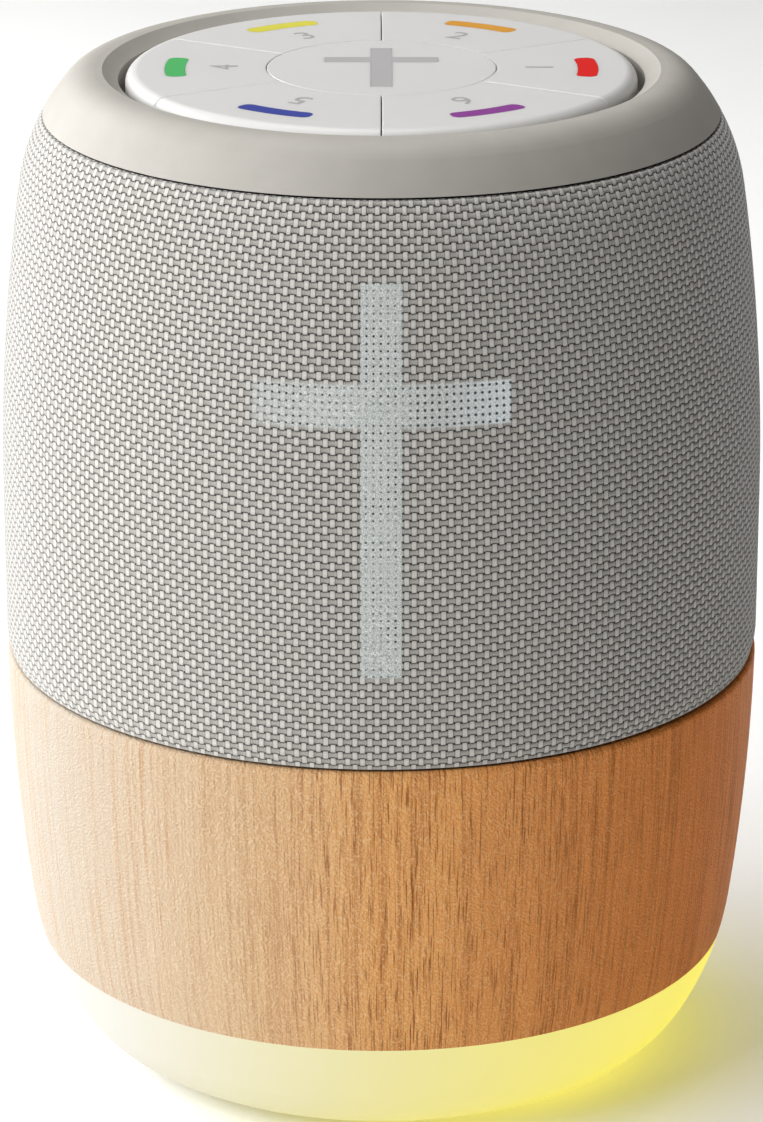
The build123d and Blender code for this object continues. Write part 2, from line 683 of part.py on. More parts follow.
# Driver frame: a pressed basket with a flat rim, four windows and a neck that seats the spider
with BuildPart() as driver_frame:
    with BuildSketch(Plane.XZ):
        with BuildLine():
            Polyline(
                (driver_radius, driver_z),
                (driver_radius, plate_face_z),
                (basket_radius - BASKET_WALL, plate_face_z),
                (basket_radius - BASKET_WALL, driver_z - BASKET_WALL),
                (neck_radius - BASKET_WALL, spider_z),
                (neck_radius - BASKET_NECK_WALL, spider_z),
                (neck_radius - BASKET_NECK_WALL, basket_floor_z + BASKET_WALL),
                (coil_bore, basket_floor_z + BASKET_WALL),
                (coil_bore, basket_floor_z),
                (neck_radius, basket_floor_z),
                (neck_radius, spider_z),
                (basket_radius, driver_z - BASKET_WALL),
                (basket_radius, driver_z),
                close=True,
            )
        make_face()
    revolve(axis=Axis.Z)
    window_turn = 180.0 / DRIVER_SCREW_COUNT
    window_z = (driver_z - BASKET_WALL + spider_z) / 2
    window_height = (driver_z - BASKET_WALL - spider_z) * BASKET_WINDOW_SHARE
    with Locations((0, 0, window_z)):
        with PolarLocations((neck_radius + basket_radius) / 2, DRIVER_SCREW_COUNT, window_turn):
            Box(driver_hole, BASKET_WINDOW, window_height, mode=Mode.SUBTRACT)
    with Locations((0, 0, plate_face_z)):
        with PolarLocations(driver_screw_circle, DRIVER_SCREW_COUNT):
            Hole(SCREW_RADIUS + SCREW_FIT, DRIVER_PLATE)
save(driver_frame.part, "driver_frame")

with BuildPart(Plane.XY.offset(plate_face_z)) as driver_screws:
    with PolarLocations(driver_screw_circle, DRIVER_SCREW_COUNT):
        Cylinder(SCREW_HEAD_RADIUS, SCREW_HEAD, align=ABOVE)
        Cylinder(SCREW_RADIUS, DRIVER_PLATE + GASKET + BAFFLE_THICKNESS, align=BELOW)
save(driver_screws.part, "driver_screws")

# Magnet system: front plate, ring magnet and the yoke with its pole
with BuildPart() as driver_front_plate:
    with BuildSketch(Plane.XY.offset(pole_plate_z)):
        Circle(MAGNET_RADIUS - BASKET_WALL)
        Circle(coil_bore, mode=Mode.SUBTRACT)
    extrude(amount=POLE_PLATE)
save(driver_front_plate.part, "driver_front_plate")

with BuildPart() as driver_magnet:
    with BuildSketch(Plane.XY.offset(yoke_z)):
        Circle(MAGNET_RADIUS)
        Circle(coil_bore + COIL_GAP, mode=Mode.SUBTRACT)
    extrude(amount=MAGNET_THICKNESS)
save(driver_magnet.part, "driver_magnet")

with BuildPart() as driver_yoke:
    with BuildSketch(Plane.XY.offset(yoke_z)):
        Circle(MAGNET_RADIUS - BASKET_WALL)
    extrude(amount=-POLE_PLATE)
    with BuildSketch(Plane.XY.offset(yoke_z)):
        Circle(coil_inner - COIL_GAP)
    extrude(amount=pole_top_z - yoke_z)
save(driver_yoke.part, "driver_yoke")

# Moving parts of the driver: the voice coil in the magnet's gap, the cone and its dust cap
cone_neck = COIL_RADIUS + CONE_WALL
with BuildPart() as voice_coil:
    with BuildSketch(Plane.XY.offset(pole_top_z - COIL_DIP)):
        Circle(COIL_RADIUS)
        Circle(coil_inner, mode=Mode.SUBTRACT)
    extrude(amount=cone_neck_z - pole_top_z + COIL_DIP)
save(voice_coil.part, "voice_coil")

with BuildPart() as speaker_cone:
    with BuildSketch(Plane.XZ):
        with BuildLine():
            Polyline(
                (coil_inner, cone_neck_z),
                (cone_neck, cone_neck_z),
                (cone_rim, plate_face_z - CONE_WALL),
                (cone_rim + CONE_GLUE, plate_face_z - CONE_WALL),
                (cone_rim + CONE_GLUE, plate_face_z),
                (cone_rim, plate_face_z),
                (coil_inner, cone_neck_z + CONE_WALL),
                close=True,
            )
        make_face()
    revolve(axis=Axis.Z)
save(speaker_cone.part, "speaker_cone")

cone_slope = (plate_face_z - cone_neck_z - CONE_WALL) / (cone_rim - coil_inner)
cap_seat_z = cone_neck_z + CONE_WALL + (DUST_CAP_RADIUS - coil_inner) * cone_slope + GLUE_LINE
cap_arc = (DUST_CAP_RADIUS**2 + DUST_CAP_RISE**2) / (2 * DUST_CAP_RISE)
cap_centre_z = cap_seat_z + DUST_CAP_RISE - cap_arc
cap_edge = math.degrees(math.acos(DUST_CAP_RADIUS / cap_arc))
with BuildPart() as dust_cap:
    with BuildSketch(Plane.XZ):
        with BuildLine():
            under = CenterArc((0, cap_centre_z), cap_arc, cap_edge, 90 - cap_edge)
            over = CenterArc((0, cap_centre_z + DUST_CAP_SKIN), cap_arc, cap_edge, 90 - cap_edge)
            Line(under @ 0, over @ 0)
            Line(under @ 1, over @ 1)
        make_face()
    revolve(axis=Axis.Z)
save(dust_cap.part, "dust_cap")

# Surround and spider: the two soft rings that let the cone move
roll_inner = cone_rim + CONE_GLUE
roll_outer = basket_radius - BASKET_WALL
roll_middle = (roll_inner + roll_outer) / 2
roll_radius = (roll_outer - roll_inner) / 2
skin_radius = roll_radius + SURROUND_SKIN
skin_z = plate_face_z + SURROUND_SKIN
skin_angle = math.degrees(math.asin(SURROUND_SKIN / skin_radius))
with BuildPart() as surround:
    with BuildSketch(Plane.XZ):
        with BuildLine():
            under = CenterArc((roll_middle, plate_face_z), roll_radius, 0, 180)
            over = CenterArc((roll_middle, plate_face_z), skin_radius, skin_angle, 180 - 2 * skin_angle)
            Polyline(under @ 1, (cone_rim, plate_face_z), (cone_rim, skin_z), over @ 1)
            Polyline(
                under @ 0,
                (roll_outer + SURROUND_RIM, plate_face_z),
                (roll_outer + SURROUND_RIM, skin_z),
                over @ 0,
            )
        make_face()
    revolve(axis=Axis.Z)
save(surround.part, "surround")

with BuildPart() as spider:
    with BuildSketch(Plane.XY.offset(spider_z)):
        Circle(neck_radius - BASKET_WALL - BOARD_FIT)
        Circle(COIL_RADIUS + GLUE_LINE, mode=Mode.SUBTRACT)
    extrude(amount=SPIDER_SKIN)
save(spider.part, "spider")

# Cage behind the cloth: insets of its two faces and of the light guide's back flange
frame_inset = CLOTH_THICKNESS + CLOTH_GAP
frame_inner_inset = frame_inset + FRAME_WALL
foot_top_z = wood_z + FRAME_FOOT
frame_outer_points = chord_points(wood_z, ring_z, frame_inset)
frame_inner_points = chord_points(wood_z, ring_z, frame_inner_inset)
window_low_z = wood_z + WINDOW_MARGIN
window_high_z = cloth_z - WINDOW_MARGIN - SKIRT_DEPTH
row_height = (window_high_z - window_low_z - HOOP_HEIGHT) / 2
window_step = (360.0 - FRONT_PANEL_ANGLE) / WINDOW_COUNT
window_start = -90.0 + FRONT_PANEL_ANGLE / 2 + window_step / 2
board_limit = outline_radius(cross_board_high, frame_inner_inset + GUIDE_FLANGE)
cross_board_y = half_chord(board_limit, CROSS_BOARD_WIDTH / 2) - CROSS_BOARD_GAP
cross_pegs = [
    (side * (CROSS_BOARD_WIDTH / 2 - CROSS_PEG_INSET), z)
    for side in (-1, 1)
    for z in (cross_board_low + CROSS_PEG_INSET, cross_board_high - CROSS_PEG_INSET)
]
skirt_outer = outline_radius(ring_z, frame_inner_inset) - SHELL_FIT
skirt_inner = skirt_outer - SKIRT_WALL
skirt_middle = (skirt_inner + skirt_outer) / 2
lug_reach = skirt_outer - skirt_middle + LUG_PROUD
lug_z = ring_z - LUG_DROP
lug_start = 180.0 / LUG_COUNT

# Grille frame: an open cage of ribs with a solid front panel, screwed through its ears to the tub
with BuildPart() as grille_frame:
    with BuildSketch(Plane.XZ.offset(cross_board_y)):
        with Locations(*cross_pegs):
            Circle(CROSS_PEG_RADIUS)
    extrude(amount=BODY_RADIUS)
    with BuildSketch(Plane.XZ):
        with BuildLine():
            Polyline((0, wood_z), *frame_outer_points, (0, ring_z), close=True)
        make_face()
    revolve(axis=Axis.Z, mode=Mode.INTERSECT)
    with BuildSketch(Plane.XZ.offset(cross_board_y)):
        with Locations(*cross_pegs):
            Circle(PIN_RADIUS)
    extrude(amount=-BOARD_THICKNESS)
    with BuildSketch(Plane.XZ.offset(cross_board_y - BOARD_THICKNESS)):
        with Locations(*cross_pegs):
            Circle(PIN_HEAD_RADIUS)
    extrude(amount=-PIN_HEAD)
    with BuildSketch(Plane.XZ):
        with BuildLine():
            Polyline(
                *frame_outer_points,
                *reversed(frame_inner_points[1:]),
                (outline_radius(foot_top_z, frame_inner_inset), foot_top_z),
                (tub_inner - FRAME_FOOT_INSET, foot_top_z),
                (tub_inner - FRAME_FOOT_INSET, wood_z),
                close=True,
            )
        make_face()
    revolve(axis=Axis.Z)
    with BuildSketch(Plane.XY.offset(wood_z)):
        with GridLocations(2 * post_x, 2 * post_y, 2, 2):
            Circle(EAR_RADIUS)
    extrude(amount=FRAME_FOOT)
    for row in range(2):
        with Locations((0, 0, window_low_z + row * (row_height + HOOP_HEIGHT))):
            with PolarLocations(BODY_RADIUS, WINDOW_COUNT, window_start, 360.0 - FRONT_PANEL_ANGLE):
                Box(BODY_RADIUS / 2, WINDOW_WIDTH, row_height, align=ABOVE, mode=Mode.SUBTRACT)
    with Locations((0, 0, lug_z)):
        with PolarLocations(skirt_outer, LUG_COUNT, lug_start):
            Box(
                BODY_RADIUS / 2,
                LUG_WIDTH + 2 * LUG_FIT,
                LUG_HEIGHT + 2 * LUG_FIT,
                mode=Mode.SUBTRACT,
            )
    with Locations((0, 0, foot_top_z)):
        with GridLocations(2 * post_x, 2 * post_y, 2, 2):
            Hole(SCREW_RADIUS + SCREW_FIT, FRAME_FOOT)
    with BuildSketch(Plane.XZ):
        with BuildLine():
            cross_outline(
                CROSS_SPAN + 2 * GUIDE_FIT,
                CROSS_LENGTH + 2 * GUIDE_FIT,
                CROSS_POST_WIDTH + 2 * GUIDE_FIT,
                CROSS_BAR_HEIGHT + 2 * GUIDE_FIT,
                CROSS_BAR_DROP + GUIDE_FIT,
                cross_low_z - GUIDE_FIT,
            )
        make_face()
    extrude(amount=2 * BODY_RADIUS, mode=Mode.SUBTRACT)
save(grille_frame.part, "grille_frame")

with BuildPart(Plane.XY.offset(foot_top_z)) as frame_screws:
    with GridLocations(2 * post_x, 2 * post_y, 2, 2):
        Cylinder(SCREW_HEAD_RADIUS, SCREW_HEAD, align=ABOVE)
        Cylinder(SCREW_RADIUS, FRAME_FOOT + BAFFLE_THICKNESS + SCREW_BITE, align=BELOW)
save(frame_screws.part, "frame_screws")

# Fabric sleeve: woven speaker cloth stretched over the cage
with BuildPart() as fabric_sleeve:
    with BuildSketch(Plane.XZ):
        with BuildLine():
            low_end, high_end = outline_arcs(wood_z + SEAM, cloth_z)
            Polyline(low_end, *chord_points(wood_z + SEAM, cloth_z, CLOTH_THICKNESS), high_end)
        make_face()
    revolve(axis=Axis.Z)
save(fabric_sleeve.part, "fabric_sleeve")

# Cross light guide: a clear cross that fills its window in the cage, with a wider flange behind it
with BuildPart() as guide_window:
    with BuildSketch(Plane.XZ):
        with BuildLine():
            cross_outline(
                CROSS_SPAN, CROSS_LENGTH, CROSS_POST_WIDTH, CROSS_BAR_HEIGHT, CROSS_BAR_DROP, cross_low_z
            )
        make_face()
    extrude(amount=2 * BODY_RADIUS)
    with BuildSketch(Plane.XZ):
        with BuildLine():
            Polyline(
                *frame_outer_points,
                *reversed(chord_points(wood_z, ring_z, frame_inner_inset + GUIDE_FLANGE)),
                close=True,
            )
        make_face()
    revolve(axis=Axis.Z, mode=Mode.INTERSECT)

with BuildPart() as cross_light_guide:
    with BuildSketch(Plane.XZ):
        with BuildLine():
            cross_outline(
                CROSS_SPAN + 2 * GUIDE_MARGIN,
                CROSS_LENGTH + 2 * GUIDE_MARGIN,
                CROSS_POST_WIDTH + 2 * GUIDE_MARGIN,
                CROSS_BAR_HEIGHT + 2 * GUIDE_MARGIN,
                CROSS_BAR_DROP + GUIDE_MARGIN,
                cross_low_z - GUIDE_MARGIN,
            )
        make_face()
    extrude(amount=2 * BODY_RADIUS)
    with BuildSketch(Plane.XZ):
        with BuildLine():
            Polyline(
                *chord_points(wood_z, ring_z, frame_inner_inset + GLUE_LINE),
                *reversed(chord_points(wood_z, ring_z, frame_inner_inset + GUIDE_FLANGE)),
                close=True,
            )
        make_face()
    revolve(axis=Axis.Z, mode=Mode.INTERSECT)
    add(guide_window.part)
save(cross_light_guide.part, "cross_light_guide")

# Board behind the guide, held on the cage's pegs, with diodes along both arms of the cross
with BuildPart() as cross_light_board:
    with BuildSketch(Plane.XZ.offset(cross_board_y)):
        with Locations((0, (cross_board_low + cross_board_high) / 2)):
            Rectangle(CROSS_BOARD_WIDTH, cross_board_high - cross_board_low)
        with Locations(*cross_pegs):
            Circle(PIN_RADIUS + BOARD_FIT, mode=Mode.SUBTRACT)
    extrude(amount=-BOARD_THICKNESS)
save(cross_light_board.part, "cross_light_board")

bar_z = cross_top_z - CROSS_BAR_DROP
upright_count = int(CROSS_LENGTH // CROSS_DIODE_SPACING)
with BuildPart() as cross_lights:
    with BuildSketch(Plane.XZ.offset(cross_board_y)):
        for step in range(upright_count):
            with Locations((0, cross_low_z + (step + 0.5) * CROSS_LENGTH / upright_count)):
                Rectangle(DIODE_WIDTH, DIODE_LENGTH)
        with Locations((CROSS_DIODE_SPACING, bar_z), (-CROSS_DIODE_SPACING, bar_z)):
            Rectangle(DIODE_LENGTH, DIODE_WIDTH)
    extrude(amount=DIODE_HEIGHT)
save(cross_lights.part, "cross_lights")

# Levels and radii of the key stack
ring_bore = crown[0] - RING_LAND
disc_radius = ring_bore - KEY_MOAT
sector_inner = CENTRE_KEY_RADIUS + KEY_GAP
sector_angle = 360.0 / KEY_COUNT
key_top_z = top_z - KEY_SINK
key_bottom_z = key_top_z - KEY_HEIGHT
cap_under_z = key_top_z - KEY_CAP
deck_top_z = key_bottom_z - KEY_TRAVEL - KEY_STOP_CLEAR
deck_under_z = deck_top_z - DECK_THICKNESS
plunger_top_z = deck_under_z - PLUNGER_BELOW_DECK
switch_top_z = plunger_top_z - PLUNGER_PROUD
key_board_z = switch_top_z - SWITCH_HEIGHT
deck_radius = skirt_inner - SHELL_FIT
deck_screw_circle = skirt_inner - SCREW_HEAD_RADIUS - SHELL_FIT
stem_circle = (sector_inner + disc_radius) / 2
leg_circle = disc_radius - LEG_INSET
mark_circle = disc_radius - MARK_INSET
key_peg_circle = CENTRE_KEY_RADIUS + KEY_PEG_SPACING
key_peg_start = sector_angle / 2
key_board_radius = stem_circle + SWITCH_SIZE / 2 + KEY_BOARD_MARGIN
centre_leg_start = sector_angle / 2
deck_screw_start = 180.0 / DECK_SCREW_COUNT

# Top ring: the soft-touch shoulder, with a skirt that snaps into the cage and a seat for the key deck
with BuildPart() as top_ring:
    with BuildSketch(Plane.XZ):
        with BuildLine():
            low_end, high_end = outline_arcs(ring_z, top_z)
            Polyline(
                high_end,
                (ring_bore + RING_SLOPE_WIDTH, top_z),
                (ring_bore, top_z - RING_SLOPE_DROP),
                (ring_bore, deck_top_z),
                (skirt_inner, deck_top_z),
                (skirt_inner, ring_z - SKIRT_DEPTH),
                (skirt_outer, ring_z - SKIRT_DEPTH),
                (skirt_outer, ring_z),
                low_end,
            )
        make_face()
    revolve(axis=Axis.Z)
    with Locations((0, 0, lug_z)):
        with PolarLocations(skirt_middle + lug_reach / 2, LUG_COUNT, lug_start):
            Box(lug_reach, LUG_WIDTH, LUG_HEIGHT)
    with Locations(facing_down(deck_top_z)):
        with PolarLocations(deck_screw_circle, DECK_SCREW_COUNT, deck_screw_start):
            Hole(SCREW_RADIUS + SCREW_FIT, DECK_SCREW_BITE + SCREW_FIT)
save(top_ring.part, "top_ring")

# Key deck: the plate under the keys, with a slot for every leg, a hole for every stem and pegs below
with BuildPart() as key_deck:
    with BuildSketch(Plane.XY.offset(deck_under_z)):
        Circle(deck_radius)
        for side in (-LEG_ANGLE, LEG_ANGLE):
            with PolarLocations(leg_circle, KEY_COUNT, side):
                Rectangle(LEG_THICKNESS + 2 * LEG_FIT, LEG_WIDTH + 2 * LEG_FIT, mode=Mode.SUBTRACT)
        with PolarLocations(CENTRE_LEG_RADIUS, CENTRE_LEG_COUNT, centre_leg_start):
            Rectangle(LEG_THICKNESS + 2 * LEG_FIT, LEG_WIDTH + 2 * LEG_FIT, mode=Mode.SUBTRACT)
        with PolarLocations(stem_circle, KEY_COUNT):
            Circle(STEM_RADIUS + STEM_FIT, mode=Mode.SUBTRACT)
        Circle(STEM_RADIUS + STEM_FIT, mode=Mode.SUBTRACT)
        with PolarLocations(deck_screw_circle, DECK_SCREW_COUNT, deck_screw_start):
            Circle(SCREW_RADIUS + SCREW_FIT, mode=Mode.SUBTRACT)
    extrude(amount=DECK_THICKNESS)
    with BuildSketch(Plane.XY.offset(deck_under_z)):
        with PolarLocations(key_peg_circle, KEY_PEG_COUNT, key_peg_start):
            Circle(KEY_PEG_RADIUS)
    extrude(amount=key_board_z - deck_under_z)
    with BuildSketch(Plane.XY.offset(key_board_z)):
        with PolarLocations(key_peg_circle, KEY_PEG_COUNT, key_peg_start):
            Circle(PIN_RADIUS)
    extrude(amount=-BOARD_THICKNESS)
    with BuildSketch(Plane.XY.offset(key_board_z - BOARD_THICKNESS)):
        with PolarLocations(key_peg_circle, KEY_PEG_COUNT, key_peg_start):
            Circle(PIN_HEAD_RADIUS)
    extrude(amount=-PIN_HEAD)
save(key_deck.part, "key_deck")

with BuildPart(Plane.XY.offset(deck_under_z)) as deck_screws:
    with PolarLocations(deck_screw_circle, DECK_SCREW_COUNT, deck_screw_start):
        Cylinder(SCREW_HEAD_RADIUS, SCREW_HEAD, align=BELOW)
        Cylinder(SCREW_RADIUS, DECK_THICKNESS + DECK_SCREW_BITE, align=ABOVE)
save(deck_screws.part, "deck_screws")

# Key board and its seven push switches, each with a well for its plunger
with BuildPart() as key_board:
    with BuildSketch(Plane.XY.offset(key_board_z)):
        Circle(key_board_radius)
        with PolarLocations(key_peg_circle, KEY_PEG_COUNT, key_peg_start):
            Circle(PIN_RADIUS + BOARD_FIT, mode=Mode.SUBTRACT)
    extrude(amount=-BOARD_THICKNESS)
save(key_board.part, "key_board")

with BuildPart() as key_switches:
    with BuildSketch(Plane.XY.offset(key_board_z)):
        with PolarLocations(stem_circle, KEY_COUNT):
            Rectangle(SWITCH_SIZE, SWITCH_SIZE)
        Rectangle(SWITCH_SIZE, SWITCH_SIZE)
    extrude(amount=SWITCH_HEIGHT)
    with BuildSketch(Plane.XY.offset(switch_top_z)):
        with PolarLocations(stem_circle, KEY_COUNT):
            Circle(PLUNGER_RADIUS + PLUNGER_FIT)
        Circle(PLUNGER_RADIUS + PLUNGER_FIT)
    extrude(amount=-(PLUNGER_ROOT + KEY_TRAVEL + KEY_STOP_CLEAR), mode=Mode.SUBTRACT)
save(key_switches.part, "key_switches")

# Flat cable: from the main board's top edge, up through the baffle's slot, to the underside of the key board
key_board_under = key_board_z - BOARD_THICKNESS
cable_end_y = key_board_radius - CABLE_INSET
with BuildPart() as key_cable:
    with BuildSketch(Plane.YZ):
        with BuildLine():
            FilletPolyline(
                (board_middle_y, board_top_z),
                (board_middle_y, key_board_under - CABLE_LEAN_LOW),
                (cable_end_y, key_board_under - CABLE_LEAN_HIGH),
                (cable_end_y, key_board_under),
                radius=CABLE_BEND,
            )
        trace(line_width=CABLE_THICKNESS)
    extrude(amount=CABLE_WIDTH / 2, both=True)
save(key_cable.part, "key_cable")

# Leads in pairs: battery and driver to the main board, that to the ring of lights, key board to the cross
battery_lead_z = tub_floor + BATTERY_LEAD_HEIGHT
floor_lead_z = battery_lead_z - BATTERY_LEAD_DIP
speaker_lead_z = (basket_floor_z + spider_z) / 2
light_lead_z = tub_floor + LIGHT_LEAD_HEIGHT
cross_lead_z = cross_board_high - CROSS_PEG_INSET
cross_back_y = BOARD_THICKNESS - cross_board_y
lead_routes = []
for side in (-LEAD_SPACING / 2, LEAD_SPACING / 2):
    x = BATTERY_LEAD_X + side
    lead_routes.append(
        [
            (x, battery_inner_y, battery_lead_z),
            (x, battery_inner_y + LEAD_STRAIGHT, battery_lead_z),
            (x, battery_inner_y + 2 * LEAD_STRAIGHT, floor_lead_z),
            (x, board_inner_y - 2 * LEAD_STRAIGHT, floor_lead_z),
            (x, board_inner_y - LEAD_STRAIGHT, battery_lead_z),
            (x, board_inner_y, battery_lead_z),
        ]
    )
    x = SPEAKER_LEAD_X + side
    neck_y = half_chord(neck_radius, abs(x) - LEAD_RADIUS) + GLUE_LINE
    lead_routes.append(
        [
            (x, neck_y, speaker_lead_z),
            (x, neck_y + LEAD_STRAIGHT, speaker_lead_z),
            (x, board_inner_y - LEAD_STRAIGHT, speaker_lead_z - SPEAKER_LEAD_DROP),
            (x, board_inner_y, speaker_lead_z - SPEAKER_LEAD_DROP),
        ]
    )
    x = LIGHT_LEAD_X + side
    lead_routes.append(
        [
            (x, board_inner_y, light_lead_z),
            (x, light_lead_y, light_lead_z),
            (x, light_lead_y, light_z),
        ]
    )
    lead_routes.append(
        [
            (side, cross_back_y, cross_lead_z),
            (side, -cable_end_y, cross_lead_z),
            (side, -cable_end_y, key_board_under),
        ]
    )
with BuildPart() as lead_wires:
    for route in lead_routes:
        with BuildLine() as run:
            FilletPolyline(*route, radius=LEAD_BEND)
        with BuildSketch(Plane(origin=run.line @ 0, z_dir=run.line % 0)):
            Circle(LEAD_RADIUS)
        sweep()
save(lead_wires.part, "lead_wires")


def leg_profile():
    """Draw a snap leg from the cap's underside down to a barb that hooks out under the deck."""
    half = LEG_THICKNESS / 2
    barb_z = deck_under_z - BARB_GAP
    Polyline(
        (-half, cap_under_z),
        (-half, barb_z - BARB_LENGTH),
        (half, barb_z - BARB_LENGTH),
        (half + BARB_REACH, barb_z),
        (half, barb_z),
        (half, cap_under_z),
        close=True,
    )


# Story key: one sector of the disc, moulded hollow, with a stem, two snap legs and a pocket for its inlay
sector_apex = KEY_GAP / 2 / math.sin(math.radians(sector_angle / 2))
with BuildPart() as sector_key:
    with BuildSketch(Plane.XY.offset(key_bottom_z)):
        Circle(disc_radius)
        Circle(sector_inner, mode=Mode.SUBTRACT)
        with BuildLine():
            far_x, far_y = polar(2 * disc_radius, sector_angle / 2)
            Polyline(
                (sector_apex, 0), (sector_apex + far_x, far_y), (sector_apex + far_x, -far_y), close=True
            )
        make_face(mode=Mode.INTERSECT)
    extrude(amount=KEY_HEIGHT)
    top_edges = sector_key.faces().sort_by(Axis.Z)[-1].edges()
    rim = top_edges.filter_by(GeomType.CIRCLE).sort_by(SortBy.RADIUS)[-1]
    fillet(rim, KEY_ROUND)
    flat_edges = sector_key.faces().sort_by(Axis.Z)[-1].edges()
    chamfer(flat_edges.filter_by(GeomType.LINE), KEY_BEVEL)
    with BuildSketch(Plane.XY.offset(key_bottom_z)):
        Circle(disc_radius - KEY_WALL)
        Circle(sector_inner + KEY_WALL, mode=Mode.SUBTRACT)
        with BuildLine():
            inner_apex = sector_apex + KEY_WALL / math.sin(math.radians(sector_angle / 2))
            Polyline(
                (inner_apex, 0), (inner_apex + far_x, far_y), (inner_apex + far_x, -far_y), close=True
            )
        make_face(mode=Mode.INTERSECT)
    extrude(amount=KEY_HEIGHT - KEY_CAP, mode=Mode.SUBTRACT)
    with BuildSketch(Plane.XY.offset(plunger_top_z)):
        with Locations((stem_circle, 0)):
            Circle(STEM_RADIUS)
    extrude(amount=cap_under_z - plunger_top_z)
    for side in (-LEG_ANGLE, LEG_ANGLE):
        with BuildSketch(radial_plane(leg_circle, side)):
            with BuildLine():
                leg_profile()
            make_face()
        extrude(amount=LEG_WIDTH / 2, both=True)


def mark_outline(grow):
    """Draw a colour bar: a stretch of a ring about the sector's middle, grown by a fit all round."""
    outer = mark_circle + MARK_WIDTH / 2 + grow
    inner = mark_circle - MARK_WIDTH / 2 - grow
    half = MARK_SPAN_ANGLE / 2 + math.degrees(grow / mark_circle)
    CenterArc((0, 0), outer, -half, 2 * half)
    CenterArc((0, 0), inner, -half, 2 * half)
    Line(polar(inner, -half), polar(outer, -half))
    Line(polar(inner, half), polar(outer, half))


with BuildPart() as pocketed_key:
    add(sector_key.part)
    with BuildSketch(Plane.XY.offset(key_top_z)) as pocket:
        with BuildLine():
            mark_outline(INLAY_FIT)
        make_face()
        fillet(pocket.vertices(), MARK_ROUND)
    extrude(amount=-INLAY_DEPTH, mode=Mode.SUBTRACT)

with BuildPart() as colour_bar:
    with BuildSketch(Plane.XY.offset(key_top_z)) as bar:
        with BuildLine():
            mark_outline(0.0)
        make_face()
        fillet(bar.vertices(), MARK_ROUND)
    extrude(amount=-INLAY_DEPTH)

with BuildPart(Plane.XY.offset(plunger_top_z)) as plunger:
    Cylinder(PLUNGER_RADIUS, PLUNGER_PROUD + PLUNGER_ROOT, align=BELOW)

for number in range(KEY_COUNT):
    turn = number * sector_angle
    with BuildPart() as story_key:
        add(pocketed_key.part, rotation=(0, 0, turn))
    save(story_key.part, f"story_key_{number + 1}")
    with BuildPart() as story_mark:
        add(colour_bar.part, rotation=(0, 0, turn))
    save(story_mark.part, f"story_mark_{number + 1}")
    with BuildPart() as story_plunger:
        with Locations((*polar(stem_circle, turn), 0)):
            add(plunger.part)
    save(story_plunger.part, f"switch_plunger_{number + 1}")

# Centre key: a round cap with three snap legs, a stem and a cross-shaped pocket
with BuildPart() as centre_key:
    with BuildSketch(Plane.XY.offset(key_bottom_z)):
        Circle(CENTRE_KEY_RADIUS)
    extrude(amount=KEY_HEIGHT)
    chamfer(centre_key.faces().sort_by(Axis.Z)[-1].edges(), KEY_BEVEL)
    with BuildSketch(Plane.XY.offset(key_bottom_z)):
        Circle(CENTRE_KEY_RADIUS - KEY_WALL)
    extrude(amount=KEY_HEIGHT - KEY_CAP, mode=Mode.SUBTRACT)
    with BuildSketch(Plane.XY.offset(plunger_top_z)):
        Circle(STEM_RADIUS)
    extrude(amount=cap_under_z - plunger_top_z)
    for leg in range(CENTRE_LEG_COUNT):
        with BuildSketch(radial_plane(CENTRE_LEG_RADIUS, centre_leg_start + leg * 360.0 / CENTRE_LEG_COUNT)):
            with BuildLine():
                leg_profile()
            make_face()
        extrude(amount=LEG_WIDTH / 2, both=True)
    with BuildSketch(Plane.XY.offset(key_top_z)):
        with BuildLine():
            cross_outline(
                BADGE_SPAN + 2 * INLAY_FIT,
                BADGE_LENGTH + 2 * INLAY_FIT,
                BADGE_STROKE + 2 * INLAY_FIT,
                BADGE_STROKE + 2 * INLAY_FIT,
                BADGE_BAR_DROP + INLAY_FIT,
                -BADGE_LENGTH / 2 - INLAY_FIT,
            )
        make_face()
    extrude(amount=-INLAY_DEPTH, mode=Mode.SUBTRACT)
save(centre_key.part, "centre_key")

with BuildPart() as cross_mark:
    with BuildSketch(Plane.XY.offset(key_top_z)):
        with BuildLine():
            cross_outline(
                BADGE_SPAN, BADGE_LENGTH, BADGE_STROKE, BADGE_STROKE, BADGE_BAR_DROP, -BADGE_LENGTH / 2
            )
        make_face()
    extrude(amount=-INLAY_DEPTH)
save(cross_mark.part, "cross_mark")
save(plunger.part, "switch_plunger_centre")

print(f"height {top_z:.2f}, crown radius {crown[0]:.2f}, key disc radius {disc_radius:.2f}")
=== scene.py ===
# %% [markdown]
# # The looks of an audio story player
# The player is a barrel of four stacked shells: a glowing base, a turned wood band, a sleeve of speaker
# cloth with a cross of light behind it, and a soft grey ring round seven white keys. The hard pieces come
# from CAD at their real size and place, so this lesson gives them finishes and makes what CAD leaves plain.

# %% Load the frame
import math

